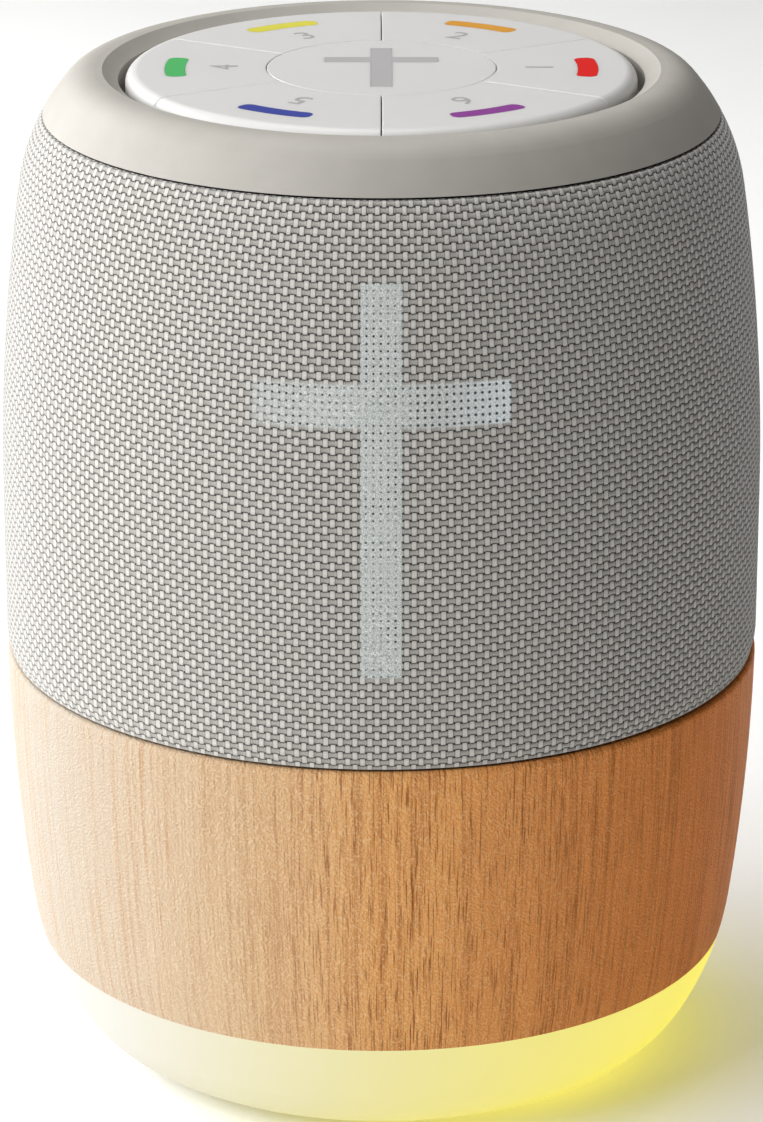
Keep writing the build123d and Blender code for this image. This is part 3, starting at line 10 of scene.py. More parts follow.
import bpy
import numpy as np
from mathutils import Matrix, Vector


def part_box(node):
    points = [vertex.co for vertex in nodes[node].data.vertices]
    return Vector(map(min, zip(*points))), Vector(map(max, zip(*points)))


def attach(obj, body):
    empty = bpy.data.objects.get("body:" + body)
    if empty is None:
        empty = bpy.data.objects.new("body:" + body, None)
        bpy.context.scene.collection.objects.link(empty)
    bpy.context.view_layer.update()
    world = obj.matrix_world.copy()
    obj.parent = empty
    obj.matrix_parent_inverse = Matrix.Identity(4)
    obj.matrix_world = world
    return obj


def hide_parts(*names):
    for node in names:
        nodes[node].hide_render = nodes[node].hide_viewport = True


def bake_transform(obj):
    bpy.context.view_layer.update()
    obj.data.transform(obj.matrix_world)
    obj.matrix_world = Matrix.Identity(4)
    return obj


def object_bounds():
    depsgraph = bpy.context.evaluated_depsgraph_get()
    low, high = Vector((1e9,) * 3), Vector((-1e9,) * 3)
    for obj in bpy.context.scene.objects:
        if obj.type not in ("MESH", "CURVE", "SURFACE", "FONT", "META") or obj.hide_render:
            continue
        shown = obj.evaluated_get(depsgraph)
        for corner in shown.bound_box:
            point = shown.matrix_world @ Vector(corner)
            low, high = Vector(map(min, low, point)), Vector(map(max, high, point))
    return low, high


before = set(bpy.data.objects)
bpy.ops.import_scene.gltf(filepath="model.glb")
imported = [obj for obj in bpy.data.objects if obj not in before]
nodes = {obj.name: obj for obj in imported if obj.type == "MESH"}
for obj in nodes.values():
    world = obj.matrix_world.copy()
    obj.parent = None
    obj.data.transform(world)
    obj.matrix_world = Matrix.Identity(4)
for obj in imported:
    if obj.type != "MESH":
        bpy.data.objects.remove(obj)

MM = 0.001
cad_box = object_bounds()
print("CAD box in mm:", [[round(v / MM, 1) for v in corner] for corner in cad_box])

# %% [markdown]
# ## Two helpers for every material
# A colour is written as the sRGB hex value that a colour picker shows, but a shader works in linear light,
# so one function converts it. A second function adds one node with its settings and its links, which keeps
# each material short enough to read as a recipe.

# %% Colour and node helpers
def linear(code):
    """sRGB hex to linear RGBA: a channel c becomes ((c + 0.055) / 1.055) ** 2.4, or c / 12.92 near black."""
    c = np.array([int(code[i:i + 2], 16) for i in (1, 3, 5)]) / 255
    return (*np.where(c > 0.04045, ((c + 0.055) / 1.055) ** 2.4, c / 12.92).tolist(), 1.0)


def put(tree, kind, inputs=(), **settings):
    """Add a node: settings go on the node, and inputs holds values, sockets or nodes (their first output)."""
    made = tree.nodes.new(kind)
    for key, value in settings.items():
        setattr(made, key, value)
    for key, value in dict(inputs).items():
        if isinstance(value, bpy.types.Node):
            value = value.outputs[0]
        if isinstance(value, bpy.types.NodeSocket):
            tree.links.new(value, made.inputs[key])
        else:
            made.inputs[key].default_value = value
    return made


def start_material(name):
    """A new material with an empty node tree."""
    made = bpy.data.materials.new(name)
    made.use_nodes = True
    made.node_tree.nodes.clear()
    return made, made.node_tree


MATH, MIX, NOISE, RANGE = "ShaderNodeMath", "ShaderNodeMixRGB", "ShaderNodeTexNoise", "ShaderNodeMapRange"
print("helpers ready; mid grey #808080 is", round(linear("#808080")[0], 3), "in linear light")

# %% [markdown]
# ## The camera
# The photograph was matched by fitting a camera to the outline and to the rims of the four shells. The
# result is a long lens that looks down by a fifth of a right angle, so the barrel tapers only a little.
# A focal length in pixels becomes millimetres by the ratio of the sensor to the image's long side.

# %% Camera
PHOTO_HEIGHT_PIXELS = 1122
FOCAL_PIXELS = 4647
SENSOR_MM = 36.0
CAMERA_PLACE = (0.0, -0.5837, 0.2762)
CAMERA_DIP = 19.74

lens = bpy.data.cameras.new("photo_camera")
lens.sensor_width = SENSOR_MM
lens.lens = SENSOR_MM * FOCAL_PIXELS / PHOTO_HEIGHT_PIXELS
camera = bpy.data.objects.new("photo_camera", lens)
camera.location = CAMERA_PLACE
camera.rotation_euler = (math.radians(90 - CAMERA_DIP), 0, 0)
bpy.context.collection.objects.link(camera)
bpy.context.scene.camera = camera
print("lens", round(lens.lens, 1), "mm")

# %% [markdown]
# ## Studio light
# Four soft boxes make the light: a large one at the front left, a wide one beside the barrel that burns out
# its left edge, one above, and a weak one that keeps the floor behind pale. The right side has almost no
# fill, which gives the barrel its roundness. An area light looks along its own -Z, so the two angles that
# turn it come from the line between its place and its aim.

# %% Soft boxes
def soft_box(name, place, size, power, aim):
    """A rectangular area light: it tilts by atan2(flat distance, drop), then turns to face its aim."""
    lamp = bpy.data.lights.new(name, "AREA")
    lamp.shape = "RECTANGLE"
    lamp.size, lamp.size_y = size
    lamp.energy = power
    made = bpy.data.objects.new(name, lamp)
    made.location = place
    look = np.array(aim) - np.array(place)
    turn = math.atan2(look[0], -look[1])
    tilt = math.atan2(math.hypot(look[0], look[1]), -look[2])
    made.rotation_euler = (tilt, 0, turn + math.pi)
    bpy.context.collection.objects.link(made)
    return made


body_middle = (0, 0, (cad_box[0][2] + cad_box[1][2]) / 2)
boxes = [
    soft_box("key_light", (-0.66, -0.54, 0.70), (0.6, 0.6), 6.2, body_middle),
    soft_box("wall_light", (-0.60, 0.20, 0.30), (1.0, 0.6), 6.6, body_middle),
    soft_box("top_light", (-0.10, 0.10, 0.90), (0.6, 0.6), 3.3, body_middle),
    soft_box("back_light", (0.40, 0.60, 0.80), (0.8, 0.8), 0.8, (0.20, 0.30, 0)),
]
print(len(boxes), "soft boxes,", round(sum(box.data.energy for box in boxes), 1), "W together")

# %% [markdown]
# ## Room and floor
# A room reflects some light from every side, more from the lit wall than from the dark one, so the world is
# a simple ramp from left to right. The floor is a sheet of white paper that glows very slightly, because
# paper in a bright studio is never quite black even in a shadow. It lies a hair below the rubber foot, so
# that two faces never share one plane. The standard view transform keeps the colours as they are written.

# %% Room and floor
LIT_WALL, DARK_WALL = -0.9, 0.7
LIT_WALL_LIGHT = 0.33
FLOOR_SIZE = 6.0
FLOOR_LEVEL = -0.05 * MM
FIBRE_CLOUD = 25 * MM
PAPER_GLOW = 0.08

world = bpy.data.worlds.new("studio")
bpy.context.scene.world = world
world.use_nodes = True
sky = world.node_tree
sky.nodes.clear()
direction = put(sky, "ShaderNodeTexCoord").outputs["Generated"]
from_left = put(sky, "ShaderNodeSeparateXYZ", {0: direction}).outputs["X"]
room = put(sky, RANGE, {0: from_left, 1: LIT_WALL, 2: DARK_WALL, 3: LIT_WALL_LIGHT, 4: 0.0})
put(sky, "ShaderNodeOutputWorld", {0: put(sky, "ShaderNodeBackground", {1: room})})

corners = FLOOR_SIZE * np.array([[-0.5, -0.5, 0], [0.5, -0.5, 0], [0.5, 0.5, 0], [-0.5, 0.5, 0]])
floor_mesh = bpy.data.meshes.new("floor")
floor_mesh.from_pydata(corners + (0, 0, FLOOR_LEVEL), [], [(0, 1, 2, 3)])
floor = bpy.data.objects.new("floor", floor_mesh)
bpy.context.collection.objects.link(floor)
# Uncoated paper: white, dull, with a faint cloudiness of its fibres
paper, tree = start_material("white uncoated paper")
place = put(tree, "ShaderNodeTexCoord").outputs["Object"]
fibre = put(tree, NOISE, {"Vector": place, "Scale": 1 / FIBRE_CLOUD})
sheet_colour = put(tree, MIX, {0: fibre, 1: linear("#FBFBFA"), 2: linear("#F6F6F4")})
shade = put(tree, "ShaderNodeBsdfPrincipled", {
    "Base Color": sheet_colour, "Roughness": 0.9,
    "Emission Color": linear("#FFFFFF"), "Emission Strength": PAPER_GLOW})
put(tree, "ShaderNodeOutputMaterial", {0: shade})
floor_mesh.materials.append(paper)
bpy.context.scene.view_settings.view_transform = "Standard"
print("floor", FLOOR_SIZE, "m wide")

# %% [markdown]
# ## The cloth sleeve
# Real speaker cloth is one woven tube, pulled over the cage and tucked under the ring and behind the wood.
# The stretched tube follows the cage exactly, so no simulation is needed: its outline is read from the CAD
# sleeve level by level and carried round the axis. Both edges roll inwards as a tucked hem does.

# %% Outline of the sleeve
sleeve = nodes["fabric_sleeve"].data
points, normals = np.zeros((2, len(sleeve.vertices) * 3), np.float32)
sleeve.vertices.foreach_get("co", points)
sleeve.vertices.foreach_get("normal", normals)
points, normals = points.reshape(-1, 3).astype(float), normals.reshape(-1, 3).astype(float)
radius = np.hypot(points[:, 0], points[:, 1])
outwards = (points[:, :2] * normals[:, :2]).sum(1) / radius
levels, first = np.unique(points[outwards > 0.3, 2].round(6), return_index=True)
radii = radius[outwards > 0.3][first]


def outline(z):
    """Radius of the cloth at a height: a straight line between the two nearest levels of the CAD sleeve."""
    return np.interp(z, levels, radii)


print("cloth outline from", len(levels), "levels, radius", (radii.min() / MM).round(2), "to",
      (radii.max() / MM).round(2), "mm")

# %% [markdown]
# The hem is a quarter of an ellipse at each end, so the closed profile runs up the outside, over the top
# hem, down the inside and back under the lower hem. Just above the wood the cloth is pulled tight and thin,
# which leaves the rounded edge of the wood open to the light. The rows of faces are spaced by a cosine, so
# they are closest at the hems, where the cloth bends most.

# %% Profile of the sleeve
CLOTH_THICKNESS = 0.7 * MM
HEM_RISE = 0.3 * MM
HEM_PULL = 0.45 * MM
PULL_REACH = 1.4 * MM
ROWS_OF_FACES = 80
HEM_STEPS = 5


def cloth_radius(z):
    """Radius of the cloth at a height: the outline, less a pull that fades as a bell curve from the hem."""
    return outline(z) - HEM_PULL * np.exp(-((z - levels[0]) / PULL_REACH) ** 2)


low, high = levels[0], levels[-1]
spread = (1 - np.cos(np.linspace(0, math.pi, ROWS_OF_FACES + 1))) / 2
rise = low + HEM_RISE + (high - low - 2 * HEM_RISE) * spread
bend = np.linspace(0, math.pi / 2, HEM_STEPS + 1)[1:]
inner = outline(rise) - CLOTH_THICKNESS
outer = cloth_radius(rise)
top_hem = np.stack([inner[-1] + (outer[-1] - inner[-1]) * np.cos(bend),
                    rise[-1] + HEM_RISE * np.sin(bend)], axis=1)
low_hem = np.stack([inner[0] + (outer[0] - inner[0]) * np.cos(bend[::-1]),
                    rise[0] - HEM_RISE * np.sin(bend[::-1])], axis=1)
outside = np.concatenate([low_hem, np.stack([outer, rise], axis=1), top_hem])
profile = np.concatenate([outside, np.stack([inner, rise], axis=1)[::-1]])
print("profile of", len(profile), "points, height", round((high - low) / MM, 2), "mm")

# %% [markdown]
# Carrying the profile round the axis gives a closed tube with no loose edge and no seam. Every face corner
# also stores which thread it lies on, in a UV map that counts warp threads round the barrel and weft rows
# up it, so the weave can follow the surface wherever it bends.

# %% Surface of revolution
def turned_surface(name, profile, steps, across, along):
    """A closed profile of (radius, height) carried round Z. Vertex (i, j) is (r cos a, r sin a, z) of profile
    point j at the angle a = 2 pi i / steps. Each face corner stores (across * i / steps, along[j]), so a
    pattern can count threads round the surface and rows up it."""
    count = len(profile)
    a = 2 * np.pi * np.arange(steps) / steps
    r, z = profile.T
    points = np.stack([np.outer(np.cos(a), r), np.outer(np.sin(a), r), np.tile(z, (steps, 1))], axis=-1)
    i, j = np.meshgrid(np.arange(steps), np.arange(count), indexing="ij")
    ring_i, ring_j = np.stack([i, i + 1, i + 1, i], -1), np.stack([j, j, j + 1, j + 1], -1)
    faces = (ring_i % steps) * count + ring_j % count
    mesh = bpy.data.meshes.new(name)
    mesh.from_pydata(points.reshape(-1, 3), [], faces.reshape(-1, 4))
    mesh.polygons.foreach_set("use_smooth", np.ones(steps * count, bool))
    threads = np.stack([across * ring_i / steps, np.append(along, along[0])[ring_j]], -1)
    mesh.uv_layers.new(name="threads").data.foreach_set("uv", threads.astype(np.float32).ravel())
    made = bpy.data.objects.new(name, mesh)
    bpy.context.collection.objects.link(made)
    return made


print("a surface of revolution takes", len(profile), "points for each step round the axis")

# %% [markdown]
# The count of warp threads and the pitch of the weft are real sizes: threads stand about 0.9 mm apart in both
# directions. The count is even, so that over and under meet again after one turn.

# %% Sleeve of cloth
WARP_THREADS = 344
WEFT_PITCH = 0.92 * MM
FACES_ROUND = 360

steps_along = np.hypot(*np.diff(profile, axis=0).T)
rows = np.concatenate([[0], np.cumsum(steps_along)]) / WEFT_PITCH
cloth = turned_surface("cloth_sleeve", profile, FACES_ROUND, WARP_THREADS, rows)
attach(cloth, "player_body")
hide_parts("fabric_sleeve")

# %% [markdown]
# ## The weave
# The cloth is a plain weave of flat polyester yarns: pale upright warp over greyer weft. It could be made
# of thousands of little pillows, but a thread is only seven pixels wide in the picture, so the weave is
# drawn by counting. The whole part of each count says which thread it is, an odd or even sum says which
# thread is on top, and a float is pushed past the edge of its row. No loom is perfect, so the counts are
# first bent by a slow noise of up to a sixth of a thread. To the eye it is a dry, dull cloth of pale bricks.

# %% Weave: count the threads
WARP_SHARE = 0.34
WARP_EDGE = 0.06
FLOAT_REACH = 0.13
LOOM_ERROR = 0.16
SWAY_SIZE = 2.5 * MM

speaker_cloth, tree = start_material("plain woven polyester speaker cloth")
place = put(tree, "ShaderNodeTexCoord").outputs["Object"]
threads = put(tree, "ShaderNodeUVMap", uv_map="threads")
sway = put(tree, NOISE, {"Vector": place, "Scale": 1 / SWAY_SIZE, "Detail": 1.0}).outputs["Color"]
swayed = put(tree, "ShaderNodeVectorMath", {0: sway, 1: (LOOM_ERROR,) * 3, 2: threads},
             operation="MULTIPLY_ADD")
count = put(tree, "ShaderNodeSeparateXYZ", {0: swayed})
across, along = count.outputs["X"], count.outputs["Y"]
column = put(tree, MATH, {0: across}, operation="FLOOR")
offset = put(tree, MATH, {0: put(tree, MATH, {0: across}, operation="FRACT"), 1: 0.5}, operation="SUBTRACT")
side = put(tree, MATH, {0: offset}, operation="ABSOLUTE")
in_warp = put(tree, RANGE, {0: side, 1: WARP_SHARE + WARP_EDGE, 2: WARP_SHARE - WARP_EDGE, 3: 0.0, 4: 1.0})
edge = put(tree, MATH, {0: along}, operation="ROUND")
edge_kind = put(tree, MATH, {0: put(tree, MATH, {0: column, 1: edge}, operation="ADD"), 1: 2.0},
                operation="FLOORED_MODULO")
push = put(tree, MATH, {0: edge_kind, 1: 2 * FLOAT_REACH, 2: -FLOAT_REACH}, operation="MULTIPLY_ADD")
pushed = put(tree, MATH, {0: along, 1: put(tree, MATH, {0: push, 1: in_warp}, operation="MULTIPLY")},
             operation="SUBTRACT")
row = put(tree, MATH, {0: pushed}, operation="FLOOR")
row_share = put(tree, MATH, {0: pushed}, operation="FRACT")
row_offset = put(tree, MATH, {0: row_share, 1: 0.5}, operation="SUBTRACT")
row_turn = put(tree, MATH, {0: row_offset, 1: math.pi}, operation="MULTIPLY")
round_along = put(tree, MATH, {0: row_turn}, operation="COSINE")
weft_on_top = put(tree, MATH, {0: put(tree, MATH, {0: column, 1: row}, operation="ADD"), 1: 2.0},
                  operation="FLOORED_MODULO")
warp_on_top = put(tree, MATH, {0: 1.0, 1: weft_on_top}, operation="SUBTRACT")
warp_shown = put(tree, MATH, {0: warp_on_top, 1: in_warp}, operation="MULTIPLY")
print("weave counted in", len(tree.nodes), "nodes")

# %% [markdown]
# A yarn is a bundle of fine filaments, so its colour varies a little from place to place. The lines between
# the rows are dark, and darkest in the pinholes where four threads meet: partly the black cage that shows
# there, partly painted shade of the creases where the threads dip. The weft also gets painted shade where it
# dives under a warp thread. These hollows are painted paler on the left, as painted light of the strong lamp
# that shines into them there, and deepest on the right. The relief follows the same rows.

# %% Weave: colour and relief
FILAMENT_BUNDLE = 0.30 * MM
PAINTED_SHADE_SPAN = 40 * MM

fibres = put(tree, NOISE, {"Vector": place, "Scale": 1 / FILAMENT_BUNDLE, "Detail": 2.0, "Roughness": 0.6})
warp_colour = put(tree, MIX, {0: fibres, 1: linear("#BEBBB5"), 2: linear("#DFDCD7")})
weft_colour = put(tree, MIX, {0: fibres, 1: linear("#97948E"), 2: linear("#BFBCB6")})
sideways = put(tree, "ShaderNodeSeparateXYZ", {0: place}).outputs["X"]
# painted light and shade: the hollows are painted paler on the left and darker towards the right
painted_shade_rightwards = put(tree, RANGE, {0: sideways, 1: -PAINTED_SHADE_SPAN, 2: PAINTED_SHADE_SPAN, 3: 0.0, 4: 1.0})
painted_dive_depth = put(tree, RANGE, {0: painted_shade_rightwards, 1: 0.0, 2: 1.0, 3: 0.5, 4: 0.95})
cage_and_painted_shade = put(tree, MIX, {0: painted_shade_rightwards, 1: linear("#3A3935"), 2: linear("#0E0D0C")})
# painted shade: the weft is darkened where it dives under a warp thread, more towards the right
painted_dive_shade = put(tree, RANGE, {0: side, 1: WARP_SHARE, 2: 0.5, 3: painted_dive_depth, 4: 0.0})
painted_dive_shown = put(tree, MATH, {0: painted_dive_shade, 1: warp_on_top}, operation="MULTIPLY")
weft_shaded = put(tree, MIX, {0: painted_dive_shown, 1: weft_colour, 2: linear("#4A4844")})
yarn_colour = put(tree, MIX, {0: warp_shown, 1: weft_shaded, 2: warp_colour})
nearest = put(tree, MATH, {0: across}, operation="ROUND")
near_column = put(tree, MATH, {0: across, 1: nearest}, operation="SUBTRACT")
near_row = put(tree, MATH, {0: along, 1: edge}, operation="SUBTRACT")
row_square = put(tree, MATH, {0: near_row, 1: near_row}, operation="MULTIPLY")
corner_far = put(tree, MATH, {0: near_column, 1: near_column, 2: row_square}, operation="MULTIPLY_ADD")
# dark lines between rows and pinholes: the black cage, with painted shade of the creases
row_line = put(tree, RANGE, {0: round_along, 1: 0.06, 2: 0.42, 3: 0.0, 4: 1.0},
               interpolation_type="SMOOTHSTEP")
corner_hole = put(tree, RANGE, {0: corner_far, 1: 0.008, 2: 0.05, 3: 0.0, 4: 1.0})
covered = put(tree, MATH, {0: row_line, 1: corner_hole}, operation="MULTIPLY")
woven_colour = put(tree, MIX, {0: covered, 1: cage_and_painted_shade, 2: yarn_colour})
relief = put(tree, MATH, {0: warp_shown, 1: 0.35, 2: round_along}, operation="MULTIPLY_ADD")
print("weave coloured,", len(tree.nodes), "nodes so far")

# %% [markdown]
# ## The lit cross
# Light diodes behind a clear cross shine through the cloth, and their light is painted on it: the lit yarns
# look alike, paler and cooler than the rest, with a weak glow, and only the pinholes at the corners of the
# weave stay dark. The cross is given by its real size on the front of the sleeve, from the box of the clear
# guide behind it.

# %% Lit cross: where it is
guide_low, guide_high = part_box("cross_light_guide")
GUIDE_MARGIN = 1.5 * MM
POST_HALF = 2.5 * MM
BAR_HALF = 2.7 * MM
BAR_DROP = 15.0 * MM
SOFT_EDGE = 0.12 * MM

cross_top, cross_foot = guide_high[2] - GUIDE_MARGIN, guide_low[2] + GUIDE_MARGIN
bar_middle, bar_reach = cross_top - BAR_DROP, guide_high[0] - GUIDE_MARGIN
xyz = put(tree, "ShaderNodeSeparateXYZ", {0: place})


def band(value, middle, reach):
    """1 where a value is within a reach of a middle, falling to 0 over the soft edge."""
    signed = put(tree, MATH, {0: value, 1: middle}, operation="SUBTRACT")
    far = put(tree, MATH, {0: signed}, operation="ABSOLUTE")
    return put(tree, RANGE, {0: far, 1: reach + SOFT_EDGE, 2: reach - SOFT_EDGE, 3: 0.0, 4: 1.0})


post_middle, post_reach = (cross_top + cross_foot) / 2, (cross_top - cross_foot) / 2
post = put(tree, MATH, {0: band(xyz.outputs["X"], 0.0, POST_HALF),
                        1: band(xyz.outputs["Z"], post_middle, post_reach)}, operation="MULTIPLY")
bar = put(tree, MATH, {0: band(xyz.outputs["X"], 0.0, bar_reach),
                       1: band(xyz.outputs["Z"], bar_middle, BAR_HALF)}, operation="MULTIPLY")
both = put(tree, MATH, {0: post, 1: bar}, operation="MAXIMUM")
front = put(tree, MATH, {0: xyz.outputs["Y"], 1: 0.0}, operation="LESS_THAN")
# painted light: the cross's light is painted stronger towards the right end
painted_cross_light = put(tree, RANGE, {0: xyz.outputs["X"], 1: -bar_reach, 2: -0.3 * bar_reach, 3: 0.45, 4: 1.0})
lit = put(tree, MATH, {0: put(tree, MATH, {0: both, 1: front}, operation="MULTIPLY"), 1: painted_cross_light},
          operation="MULTIPLY")
print("cross", round(2 * bar_reach / MM, 1), "by", round((cross_top - cross_foot) / MM, 1), "mm on the cloth")

# %% [markdown]
# The lit yarn is speckled, because single filaments catch the light from behind. The painted light grows
# stronger towards the right end, where the yarn is almost white and every pinhole shows, while the left end
# melts into the cloth. The relief is calmer here, since light through a yarn hides its shading.

# %% Lit cross: how it looks
PATCH_SIZE = 5 * MM
FILAMENT_SIZE = 0.16 * MM
CROSS_GLOW = 0.03

patches = put(tree, NOISE, {"Vector": place, "Scale": 1 / PATCH_SIZE, "Detail": 1.0})
# painted light: the yarn is painted brighter at the right end, where the pinholes show more
end_light = put(tree, RANGE, {0: xyz.outputs["X"], 1: 0.5 * bar_reach, 2: bar_reach, 3: 0.0, 4: 1.0})
rightwards = put(tree, RANGE, {0: xyz.outputs["X"], 1: 0.12 * bar_reach, 2: 0.25 * bar_reach, 3: 0.0, 4: 1.0})
patchy = put(tree, RANGE, {0: patches, 1: 0.40, 2: 0.60, 3: 0.35, 4: 1.0})
hole_depth = put(tree, MATH, {0: patchy, 1: rightwards}, operation="MAXIMUM")
hole_size = put(tree, RANGE, {0: rightwards, 1: 0.0, 2: 1.0, 3: 0.042, 4: 0.072})
pinhole = put(tree, RANGE, {0: corner_far, 1: 0.012, 2: hole_size, 3: 1.0, 4: 0.0})
holed = put(tree, MATH, {0: pinhole, 1: hole_depth}, operation="MULTIPLY")
# A real filament is far finer than this, and is drawn coarser so that it shows
filaments = put(tree, NOISE, {"Vector": place, "Scale": 1 / FILAMENT_SIZE, "Detail": 1.0})
speckle = put(tree, RANGE, {0: filaments, 1: 0.32, 2: 0.68, 3: 0.0, 4: 1.0})
# painted light of the diodes: the lit yarn is painted paler and cooler than the rest
lit_yarn = put(tree, MIX, {0: speckle, 1: linear("#9DA19F"), 2: linear("#DCE0DE")})
bright_yarn = put(tree, MIX, {0: speckle, 1: linear("#C3CBCE"), 2: linear("#F6FBFD")})
end_yarn = put(tree, MIX, {0: end_light, 1: lit_yarn, 2: bright_yarn})
lit_colour = put(tree, MIX, {0: holed, 1: end_yarn, 2: linear("#121312")})
cloth_colour = put(tree, MIX, {0: lit, 1: woven_colour, 2: lit_colour})
calm = put(tree, RANGE, {0: lit, 1: 0.0, 2: 1.0, 3: 1.0, 4: 0.3})
bumped = put(tree, "ShaderNodeBump", {"Height": relief, "Strength": calm, "Distance": 0.2 * MM})
# painted light: a weak glow where the cross is lit
glow = put(tree, MATH, {0: lit, 1: CROSS_GLOW}, operation="MULTIPLY")
shade = put(tree, "ShaderNodeBsdfPrincipled", {
    "Base Color": cloth_colour, "Roughness": 0.85, "Normal": bumped, "Specular IOR Level": 0.25,
    "Sheen Weight": 0.6, "Sheen Roughness": 0.4,
    "Emission Color": linear("#E4EEF2"), "Emission Strength": glow})
put(tree, "ShaderNodeOutputMaterial", {0: shade})
cloth.data.materials.append(speaker_cloth)
print("cloth drawn by", len(tree.nodes), "nodes")

# %% [markdown]
# ## The wood band
# The band is an open-pored honey-brown wood with its grain running up the barrel. Grain is noise stretched
# along the trunk: broad bands a finger wide, streaks just under a millimetre, and pores a quarter of one
# across. On the real band the grain follows the bulge of the wall, so each point is first moved out to one
# common radius, which keeps every streak whole and the ring free of a seam. A slight lean keeps the grain
# from looking ruled.

# %% Oiled wood: grain
BAND_SIZE = 12 * MM
STREAK_SIZE = 0.8 * MM
PORE_SIZE = 0.24 * MM
PEBBLE_SIZE = 0.32 * MM
LEAN = (0.0, 0.04, 0.0)

wood, tree = start_material("oiled open-pored wood")
place = put(tree, "ShaderNodeTexCoord").outputs["Object"]
wood_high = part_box("wood_band")[1]
flat_place = put(tree, "ShaderNodeVectorMath", {0: place, 1: (1.0, 1.0, 0.0)}, operation="MULTIPLY")
round_place = put(tree, "ShaderNodeVectorMath", {0: flat_place}, operation="NORMALIZE")
upright = put(tree, "ShaderNodeVectorMath", {0: place, 1: (0.0, 0.0, 1.0)}, operation="MULTIPLY")
veneer = put(tree, "ShaderNodeVectorMath", {0: round_place, 1: (wood_high[0],) * 3, 2: upright},
             operation="MULTIPLY_ADD")
slow_trunk = put(tree, "ShaderNodeMapping", {"Vector": veneer, "Scale": (1.0, 1.0, 0.08), "Rotation": LEAN})
fine_trunk = put(tree, "ShaderNodeMapping", {"Vector": veneer, "Scale": (1.0, 1.0, 0.02), "Rotation": LEAN})
pore_trunk = put(tree, "ShaderNodeMapping", {"Vector": veneer, "Scale": (1.0, 1.0, 0.045), "Rotation": LEAN})
broad = put(tree, NOISE, {"Vector": slow_trunk, "Scale": 1 / BAND_SIZE, "Detail": 2.0, "Distortion": 0.3})
streaks = put(tree, NOISE, {"Vector": fine_trunk, "Scale": 1 / STREAK_SIZE, "Detail": 4.0, "Roughness": 0.8})
pores = put(tree, NOISE, {"Vector": pore_trunk, "Scale": 1 / PORE_SIZE, "Detail": 2.0})
mottle = put(tree, NOISE, {"Vector": place, "Scale": 1 / PEBBLE_SIZE, "Detail": 2.0})
sideways = put(tree, "ShaderNodeSeparateXYZ", {0: place}).outputs["X"]
heart = put(tree, RANGE, {0: sideways, 1: -20 * MM, 2: 45 * MM, 3: 0.0, 4: 1.0})
# painted light: the wood is painted pale towards the left, standing in for the strong lamp on that side
pale = put(tree, RANGE, {0: sideways, 1: -44 * MM, 2: 0.0, 3: 0.9, 4: 0.0})
print("wood grain of", len(tree.nodes), "nodes: bands, streaks, pores and mottle")

# %% [markdown]
# One side of the ring is paler sapwood and the other redder heartwood, so the ground colour slides across the
# barrel. Streaks and pores darken it, the pores most where a growth ring's open early wood is cut through.
# Towards the left the wood is also painted a pale grey, as painted light of the strong lamp on that side, so
# the streaks are painted pale there too and the pores fade out. The cut fibres pebble the whole face, and
# their tips
# catch the light: these glints are painted as pale flecks, a little stronger towards the left and greyed
# where the wood is painted pale.
# Oil leaves a low satin gloss that is duller in the open streaks.
# To the eye it is warm and dry, with fine dark dashes and a slight sparkle where the pores break the shine.

# %% Oiled wood: colour
EARLY_WOOD_PLACE = 7 * MM
EARLY_WOOD_HALF = 14 * MM

sapwood = put(tree, MIX, {0: broad, 1: linear("#D6A264"), 2: linear("#EBC07E")})
heartwood = put(tree, MIX, {0: broad, 1: linear("#E57B30"), 2: linear("#FC983E")})
aged = put(tree, MIX, {0: heart, 1: sapwood, 2: heartwood})
# painted light: the pale grey on the left stands in for the strong light there
ground = put(tree, MIX, {0: pale, 1: aged, 2: linear("#BCB6AD")})
streak_depth = put(tree, RANGE, {0: broad, 1: 0.40, 2: 0.60, 3: 0.35, 4: 0.65})
streak_mark = put(tree, RANGE, {0: streaks, 1: 0.47, 2: 0.64, 3: 0.0, 4: streak_depth})
# the streaks are painted pale on the left with the same painted light
streak_colour = put(tree, MIX, {0: pale, 1: linear("#9A4A18"), 2: linear("#C29C6C")})
streaked = put(tree, MIX, {0: streak_mark, 1: ground, 2: streak_colour})
from_ring = put(tree, MATH, {0: sideways, 1: EARLY_WOOD_PLACE}, operation="SUBTRACT")
ring_far = put(tree, MATH, {0: from_ring}, operation="ABSOLUTE")
early_wood = put(tree, RANGE, {0: ring_far, 1: EARLY_WOOD_HALF, 2: 2 * EARLY_WOOD_HALF, 3: 1.0, 4: 0.45})
patchy_pores = put(tree, RANGE, {0: broad, 1: 0.40, 2: 0.60, 3: 0.65, 4: 1.0})
pore_field = put(tree, MATH, {0: early_wood, 1: patchy_pores}, operation="MULTIPLY")
open_pore = put(tree, RANGE, {0: pores, 1: 0.55, 2: 0.66, 3: 0.0, 4: 0.75})
pore_mark = put(tree, MATH, {0: open_pore, 1: pore_field}, operation="MULTIPLY")
# the pores fade out under the painted light on the left
unpaled = put(tree, MATH, {0: 1.0, 1: pale}, operation="SUBTRACT")
pore_shade = put(tree, MATH, {0: pore_mark, 1: unpaled}, operation="MULTIPLY")
# painted highlight: glints on the tips of the pebbling, a little stronger towards the left
painted_glint_depth = put(tree, RANGE, {0: heart, 1: 0.0, 2: 1.0, 3: 0.5, 4: 0.4})
painted_glint = put(tree, RANGE, {0: mottle, 1: 0.48, 2: 0.66, 3: 0.0, 4: painted_glint_depth})
glint_tint = put(tree, MIX, {0: heart, 1: linear("#F7DDB0"), 2: linear("#F7B06A")})
